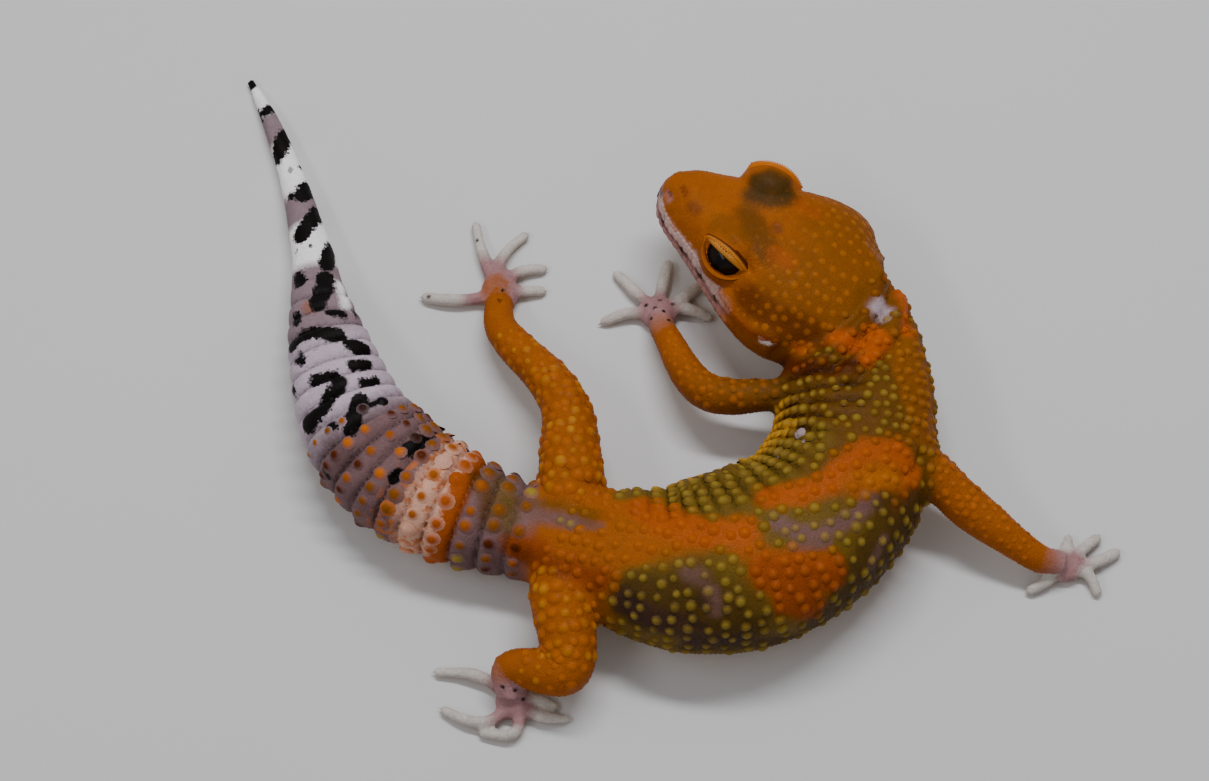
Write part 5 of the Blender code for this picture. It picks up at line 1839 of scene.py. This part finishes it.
class GECKO_OT_granules(bpy.types.Operator):
    """The small round scales that cover the rest of the skin"""

    bl_idname = "gecko.granules"
    bl_label = "Granules"

    def execute(self, context):
        settings = context.scene.gecko_coat
        skin = SkinMap()
        draw = np.random.default_rng(settings.seed + 1)
        pitch = settings.granule / MM
        material = skin_material("gecko_granules", context.scene.gecko_skin, 0.00012, 0.00001)
        trunk = ring_grid(BODY_STATIONS, 2.2, 56.0, pitch, (-80, 260), draw, 0.25)
        tail = ring_grid(BODY_STATIONS, 56.0, 122.0, pitch * 0.78, (-60, 240), draw, 0.2)
        head = ring_grid(HEAD_RINGS, 0.4, 25.0, pitch * 0.8, (-88, 268), draw, 0.25)
        limbs = zip(*(limb_grid(limb, pitch, draw, 0.2, 1.12) for limb in LIMBS.values()))
        for name, points, way in (
            ("trunk", body_surface(*trunk.T), spine_direction(trunk[:, 0])),
            ("tail", body_surface(*tail.T), spine_direction(tail[:, 0])),
            ("head", head_surface(*head.T), np.tile(HEAD_AXES[0], (len(head), 1))),
            ("limb", *(np.vstack(part) for part in limbs)),
        ):
            roots = Roots(skin, points)
            near = roots.clear()
            if name == "head":
                off_lips = (roots.head_up > 1.6) | (roots.head_up < -1.0) | (roots.behind > MOUTH_CORNER)
                near &= (roots.on_head > 0.35) & off_lips
            elif name == "limb":
                near &= roots.on_limb > 0.5
            else:
                near &= (roots.on_body > 0.5) & ~((roots.off_groove() < 0.1) & (roots.on_tail > 0.3))
            roots.keep(near)
            size = pitch * GRANULE_RADIUS * draw.uniform(0.85, 1.1, near.sum())
            flatter = 1 - 0.5 * smooth_step(66, 84, roots.s) * (roots.on_body > 0.5)
            colors = roots.ground * draw.uniform(0.94, 1.08, (near.sum(), 1))
            sizes = np.column_stack([size, size, size * GRANULE_HEIGHT * flatter])
            add_domes(f"{name}_granules", SMALL_DOME, roots, way[near], sizes, colors, material)
        return {"FINISHED"}


class GECKO_OT_claws(bpy.types.Operator):
    """A small curved claw on every toe"""

    bl_idname = "gecko.claws"
    bl_label = "Claws"

    def execute(self, context):
        bpy.ops.object.select_all(action="DESELECT")
        length, radius = CLAW_SIZE
        bpy.ops.mesh.primitive_circle_add(vertices=10, radius=radius * MM, fill_type="NGON")
        model = context.object
        bpy.ops.object.mode_set(mode="EDIT")
        bpy.ops.mesh.select_all(action="SELECT")
        taper = CLAW_STEPS + 0.35
        for step in range(CLAW_STEPS):
            rise = (0.0, 0.0, length * MM / CLAW_STEPS)
            bpy.ops.mesh.extrude_region_move(TRANSFORM_OT_translate={"value": rise})
            bpy.ops.transform.translate(value=(-CLAW_HOOK * MM * (step + 1) / CLAW_STEPS, 0.0, 0.0))
            bpy.ops.transform.resize(value=((1 - (step + 1) / taper) / (1 - step / taper),) * 3)
        bpy.ops.object.mode_set(mode="OBJECT")
        local = local_points(model)
        claws = []
        for limb in LIMBS.values():
            for toe in limb["toes"]:
                path = toe_path(limb["palm"], toe)[:, 1:]
                way = unit((path[-1] - path[-2]) * (1, 1, 0.3))
                side = unit(np.cross(way, (0, 0, 1)))
                claw = model.copy()
                claw.data = model.data.copy()
                context.scene.collection.objects.link(claw)
                place = path[-1] + way * (TOE_RADII[-1] * 0.55) + np.array((0, 0, 0.12))
                move_points(claw, place + local @ np.stack([np.cross(side, way), side, way]))
                claws.append(claw)
        bpy.data.objects.remove(model, do_unlink=True)
        select_only(claws[0])
        for claw in claws:
            claw.select_set(True)
        bpy.ops.object.join()
        piece = context.object
        piece.name = "claws"
        faces_outward(piece)
        move_points(piece, above_floor(points_of(piece), 0.02))
        finish_piece(piece, claw_material())
        return {"FINISHED"}


class GECKO_OT_stage(bpy.types.Operator):
    """A pale floor, soft light and the camera"""

    bl_idname = "gecko.stage"
    bl_label = "Stage"

    def execute(self, context):
        settings = context.scene.gecko_stage
        bpy.ops.object.select_all(action="DESELECT")
        bpy.ops.mesh.primitive_plane_add(size=6.0)
        floor = context.object
        floor.name = "floor"
        material, tree, shader = new_material("pale_floor", {"Roughness": 0.6})
        grain = add_node(tree, "TexNoise", {"Vector": object_coordinates(tree), "Scale": 60.0, "Detail": 4.0})
        light, dark = (*settings.floor_color, 1.0), (*(0.97 * value for value in settings.floor_color), 1.0)
        tree.links.new(mix_color(tree, grain.outputs["Fac"], light, dark), shader["Base Color"])
        floor.data.materials.append(material)
        world = bpy.data.worlds.new("soft_sky")
        world.use_nodes = True
        sky = world.node_tree.nodes["Background"].inputs
        sky["Color"].default_value = (1.0, 0.99, 0.97, 1.0)
        sky["Strength"].default_value = settings.sky_strength
        context.scene.world = world
        for name, place, size, share in LIGHTS:
            light = bpy.data.lights.new(name, "AREA")
            light.energy = settings.light_power * share
            light.shape = "RECTANGLE"
            light.size, light.size_y = size, size * LIGHT_NARROWNESS
            lamp = bpy.data.objects.new(name, light)
            lamp.location = place
            lamp.rotation_euler = (-Vector(place)).to_track_quat("-Z", "Y").to_euler()
            context.scene.collection.objects.link(lamp)
        camera = bpy.data.cameras.new("camera")
        camera.sensor_width = SENSOR_WIDTH
        camera.lens = VIEW_SCALE * VIEW_DISTANCE * SENSOR_WIDTH / VIEW_SIZE[0]
        camera.clip_start = 0.01
        eye = bpy.data.objects.new("camera", camera)
        eye.location = Vector(to_frame(VIEW_TARGET + VIEW_BACK * VIEW_DISTANCE))
        eye.rotation_euler = (math.pi / 2 - VIEW_ELEVATION, 0.0, 0.0)
        context.scene.collection.objects.link(eye)
        context.scene.camera = eye
        return {"FINISHED"}


class GECKO_PT_panel(bpy.types.Panel):
    """The gecko's settings and the steps that build it"""

    bl_idname = "GECKO_PT_panel"
    bl_label = "Leopard Gecko"
    bl_space_type = "VIEW_3D"
    bl_region_type = "UI"
    bl_category = "Gecko"

    def draw(self, context):
        for group, steps in PANEL_ROWS:
            box = self.layout.box()
            settings = getattr(context.scene, group)
            for key in settings.__annotations__:
                box.prop(settings, key)
            for step in steps:
                box.operator(step.bl_idname)


GROUPS = {"gecko_skin": GeckoSkin, "gecko_coat": GeckoCoat, "gecko_stage": GeckoStage}
FACE_STEPS = (GECKO_OT_eyes, GECKO_OT_lids, GECKO_OT_lips)
COAT_STEPS = (GECKO_OT_tubercles, GECKO_OT_granules, GECKO_OT_claws)
STEPS = (GECKO_OT_skin, *FACE_STEPS, *COAT_STEPS, GECKO_OT_stage)
PANEL_ROWS = (
    ("gecko_skin", (GECKO_OT_skin, *FACE_STEPS)),
    ("gecko_coat", COAT_STEPS),
    ("gecko_stage", (GECKO_OT_stage,)),
)


def register():
    for group in (*GROUPS.values(), *STEPS, GECKO_PT_panel):
        bpy.utils.register_class(group)
    for name, group in GROUPS.items():
        setattr(bpy.types.Scene, name, PointerProperty(type=group))


def unregister():
    for name in GROUPS:
        delattr(bpy.types.Scene, name)
    for group in (GECKO_PT_panel, *STEPS, *GROUPS.values()):
        bpy.utils.unregister_class(group)


def main():
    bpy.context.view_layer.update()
    register()
    bpy.ops.gecko.skin()
    bpy.ops.gecko.eyes()
    bpy.ops.gecko.lids()
    bpy.ops.gecko.lips()
    bpy.ops.gecko.tubercles()
    bpy.ops.gecko.granules()
    bpy.ops.gecko.claws()
    bpy.ops.gecko.stage()


if __name__ == "__main__":
    main()
